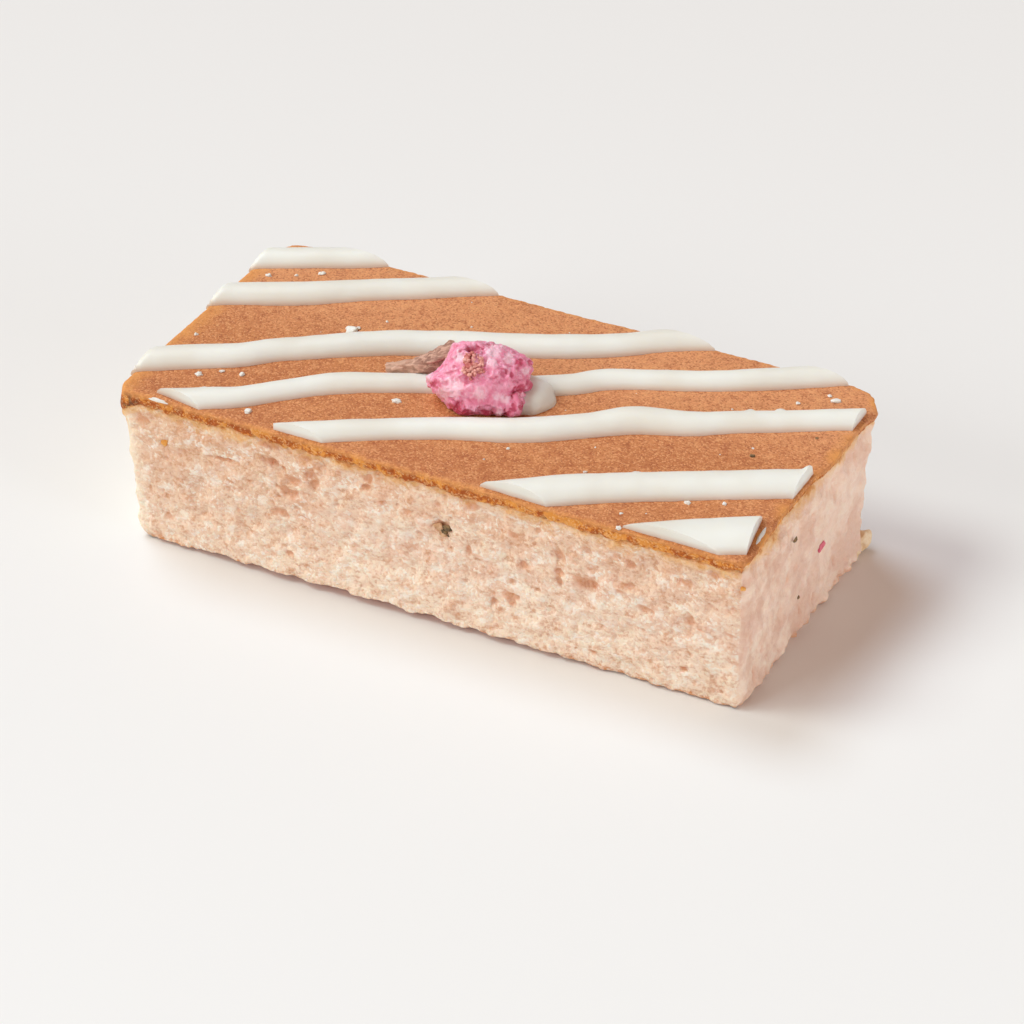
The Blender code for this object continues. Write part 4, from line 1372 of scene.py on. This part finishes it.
def make_petal(ring, place):
    """One petal: a thin sheet that starts by the stamens and drapes to a ruffled edge."""
    bm = bmesh.new()
    bmesh.ops.create_grid(bm, x_segments=PETAL_CELLS, y_segments=PETAL_CELLS, size=1)
    middle = ring["turn"] + math.tau * place / ring["count"]
    for vert in bm.verts:
        side, out = vert.co.x, (vert.co.y + 1) / 2
        width = ring["spread"] * (PETAL_FOOT + PETAL_WIDEN * math.sin(math.pi * min(out, 0.9)))
        angle = middle + side * width
        notch = PETAL_NOTCH * (1 - abs(side)) ** 3 * out
        edge = PETAL_RAGGED * noise.noise(Vector((angle * 4, 3.0 * place, 0))) * out
        end = 1 - PETAL_ROUND * side * side - notch + edge
        reach = PETAL_START + (ring["reach"] - PETAL_START) * out * end
        wave = math.sin(5.2 * side + 2.1 * place + 4 * ring["turn"]) * out**2
        face = 1 - min(reach, 1)
        along = FACE_AT[0] * MM * face + BLOSSOM_SIZE[0] * reach * math.cos(angle)
        across = FACE_AT[1] * MM * face + BLOSSOM_SIZE[1] * reach * math.sin(angle)
        height = dome_height(reach) + ring["lift"] + PETAL_WAVE * wave + PETAL_CUP * abs(side) * out
        vert.co = Vector((along, across, height))
    bmesh.ops.recalc_face_normals(bm, faces=bm.faces)
    bmesh.ops.solidify(bm, geom=bm.faces, thickness=PETAL_THICK)
    seat(bm, on_top(*BLOSSOM_AT, BLOSSOM_RISE), Matrix.Rotation(SLANT, 4, "Z"))
    return bm


def make_mass():
    """The blossom's mass: a crumpled dome that goes nearly straight down below its middle."""
    centre = on_top(*BLOSSOM_AT, BLOSSOM_RISE)
    bm = make_ball(centre, BLOSSOM_SIZE, MASS_RINGS)
    for vert in bm.verts:
        low = (centre.z - vert.co.z) / BLOSSOM_SIZE[2]
        if 0 < low < 0.98:
            wider = (1 - MASS_TAPER * low * low) / math.sqrt(1 - low * low)
            vert.co.xy = centre.xy + (vert.co.xy - centre.xy) * wider
    crush(bm, MASS_CRUSH, (0, 0, 0))
    return bm


def wet_folds(place):
    """The wet folds in the petals' skin, sunk around the stamens."""
    right, up = as_seen(place)
    tuft = math.hypot((right - STAMENS_AT[0]) / STAMENS_HALF[0], (up - STAMENS_AT[1]) / STAMENS_HALF[1])
    height, size = WET_RIDGES
    ridges = height * MM * ridge(place, size * MM, WET_SHARPNESS)
    return ridges + relief(place, WET_GRAIN) - TUFT_HOLLOW * math.exp(-tuft * tuft)


def make_petals(material):
    """The petals, stuck together wet: a mass, its petals and folded ends under one skin."""
    bm = make_mass()
    for ring in PETAL_RINGS:
        for place in range(ring["count"]):
            petal = make_petal(ring, place)
            crush(petal, PETAL_CRUSH, (3.1 * place, 7.0 * ring["turn"], 0))
            add_shape(bm, petal)
    for place, row in enumerate(FOLDS):
        fold = make_lobe(row, FOLD_RINGS)
        crush(fold, FOLD_CRUSH, (5.0 * place, 1.0, 0))
        add_shape(bm, fold)
    bm = fuse(bm, SKIN_CELL)
    fit_outline(bm)
    smooth(bm, SKIN_ROUNDS)
    swell(bm, wet_folds)
    keep_clear(bm)
    tint_folds(bm)
    skin = BVHTree.FromBMesh(bm)
    make_piece("petals", bm, material, "blossom")
    return skin


def make_stamens(material, skin):
    """The dried stamens: short threads with knobs, in a low tuft on the petals."""
    draw = random.Random(9)
    bm = bmesh.new()
    for _ in range(STAMENS):
        spread = math.sqrt(draw.random())
        angle = draw.uniform(0, math.tau)
        right = STAMENS_AT[0] + STAMENS_HALF[0] * spread * math.cos(angle)
        up = STAMENS_AT[1] + STAMENS_HALF[1] * spread * math.sin(angle)
        foot, facing = seen_spot(skin, right, up)
        if foot is None:
            continue
        loose = Vector([draw.uniform(-1, 1) for _ in range(3)])
        way = (facing + loose).normalized()
        length = draw.uniform(*THREAD_LENGTH) * MM
        thread = bmesh.new()
        foot_radius, tip_radius = mm(*THREAD_RADII)
        bmesh.ops.create_cone(
            thread, cap_ends=True, segments=8, radius1=foot_radius, radius2=tip_radius, depth=length
        )
        spin = Vector((0, 0, 1)).rotation_difference(way).to_matrix().to_4x4()
        seat(thread, foot + way * length / 2, spin)
        add_shape(bm, thread)
        knob = draw.uniform(*KNOB) * MM
        sizes = [knob * part for part in KNOB_SHAPE]
        add_shape(bm, make_ball(foot + way * length, sizes, KNOB_RINGS, angle))
    make_piece("stamens", bm, material, "blossom")


def make_calyx(material):
    """The brown calyx and its stub of stem, wrinkled lengthwise, with scraps of sepal."""
    run = smooth_run(CALYX, CALYX_STEP)
    centres = [on_top(along, across, height * MM) for along, across, height, _ in run]
    bm = make_tube(centres, [radius * MM for *_, radius in run], roundness=14)
    axis = Vector((COS, SIN, 0))

    def wrinkle(place):
        spot = place / MM
        spot -= CALYX_DRAWN * axis * axis.dot(spot)
        height, size = CALYX_RIDGES
        share, fine = CALYX_GRAIN
        return (height * ridge(spot, size, WET_SHARPNESS) + share * noise.noise(spot / fine)) * MM

    swell(bm, wrinkle)
    keep_clear(bm)
    for row in SEPALS:
        sepal = make_lobe(row, SEPAL_RINGS)
        for vert in sepal.verts:
            vert.co.z += relief(vert.co, SEPAL_GRAIN)
        add_shape(bm, sepal)
    make_piece("calyx", bm, material, "blossom")


def make_floor():
    """The plain floor that the cake stands on."""
    bm = bmesh.new()
    bmesh.ops.create_grid(bm, x_segments=1, y_segments=1, size=FLOOR_HALF)
    floor = add_object("floor", mesh_of(bm, "floor"))
    floor.data.materials.append(Paint("plain floor").finish(FLOOR_TINT, 0.5, shine=0.2))


def make_light(name, kind, place, spread, power, tint):
    """A lamp that looks at the cake."""
    lamp = bpy.data.lights.new(name, kind)
    setattr(lamp, "angle" if kind == "SUN" else "size", spread)
    lamp.energy = power
    lamp.color = tint
    obj = add_object(name, lamp)
    obj.location = place
    obj.rotation_euler = (-Vector(place)).to_track_quat("-Z", "Y").to_euler()


def make_studio():
    """Soft keys from the photo's left, low fills for the two near sides, and a warm surround."""
    scene = bpy.context.scene
    world = bpy.data.worlds.new("pale room")
    scene.world = world
    world.use_nodes = True
    background = world.node_tree.nodes["Background"]
    background.inputs["Color"].default_value = WORLD_TINT
    background.inputs["Strength"].default_value = WORLD_STRENGTH
    for lamp in LAMPS:
        make_light(*lamp)
    scene.view_settings.view_transform = "Standard"


def make_camera():
    """The photo's own view, from its left front and above."""
    level = math.cos(CAMERA_HEIGHT)
    back = Vector((math.sin(CAMERA_TURN) * level, -math.cos(CAMERA_TURN) * level, math.sin(CAMERA_HEIGHT)))
    lens = bpy.data.cameras.new("camera")
    lens.sensor_width = SENSOR
    lens.lens = FOCAL_PIXELS / PHOTO_PIXELS * SENSOR
    lens.clip_start = 0.01
    camera = add_object("camera", lens)
    camera.location = CAMERA_TARGET + SHIFT + back * CAMERA_AWAY
    camera.rotation_euler = back.to_track_quat("Z", "Y").to_euler()
    bpy.context.scene.camera = camera


make_crumb(crumb_material())
make_crust(crust_material())
chocolate = chocolate_material("white chocolate", 0.40)
loose_chocolate = chocolate_material("loose white chocolate", 0.08)
for number, (rise, points) in enumerate(LINES, 1):
    make_line(number, rise, points, chocolate)
make_blob(loose_chocolate)
make_white_crumbs(loose_chocolate)
make_flecks()
petal_skin = make_petals(petal_material())
stamen_brown = speckled_material("dried stamens", (200, 112, 106), (236, 176, 164), 0.6, 0.1)
make_stamens(stamen_brown, petal_skin)
make_calyx(calyx_material())
make_floor()
make_studio()
make_camera()
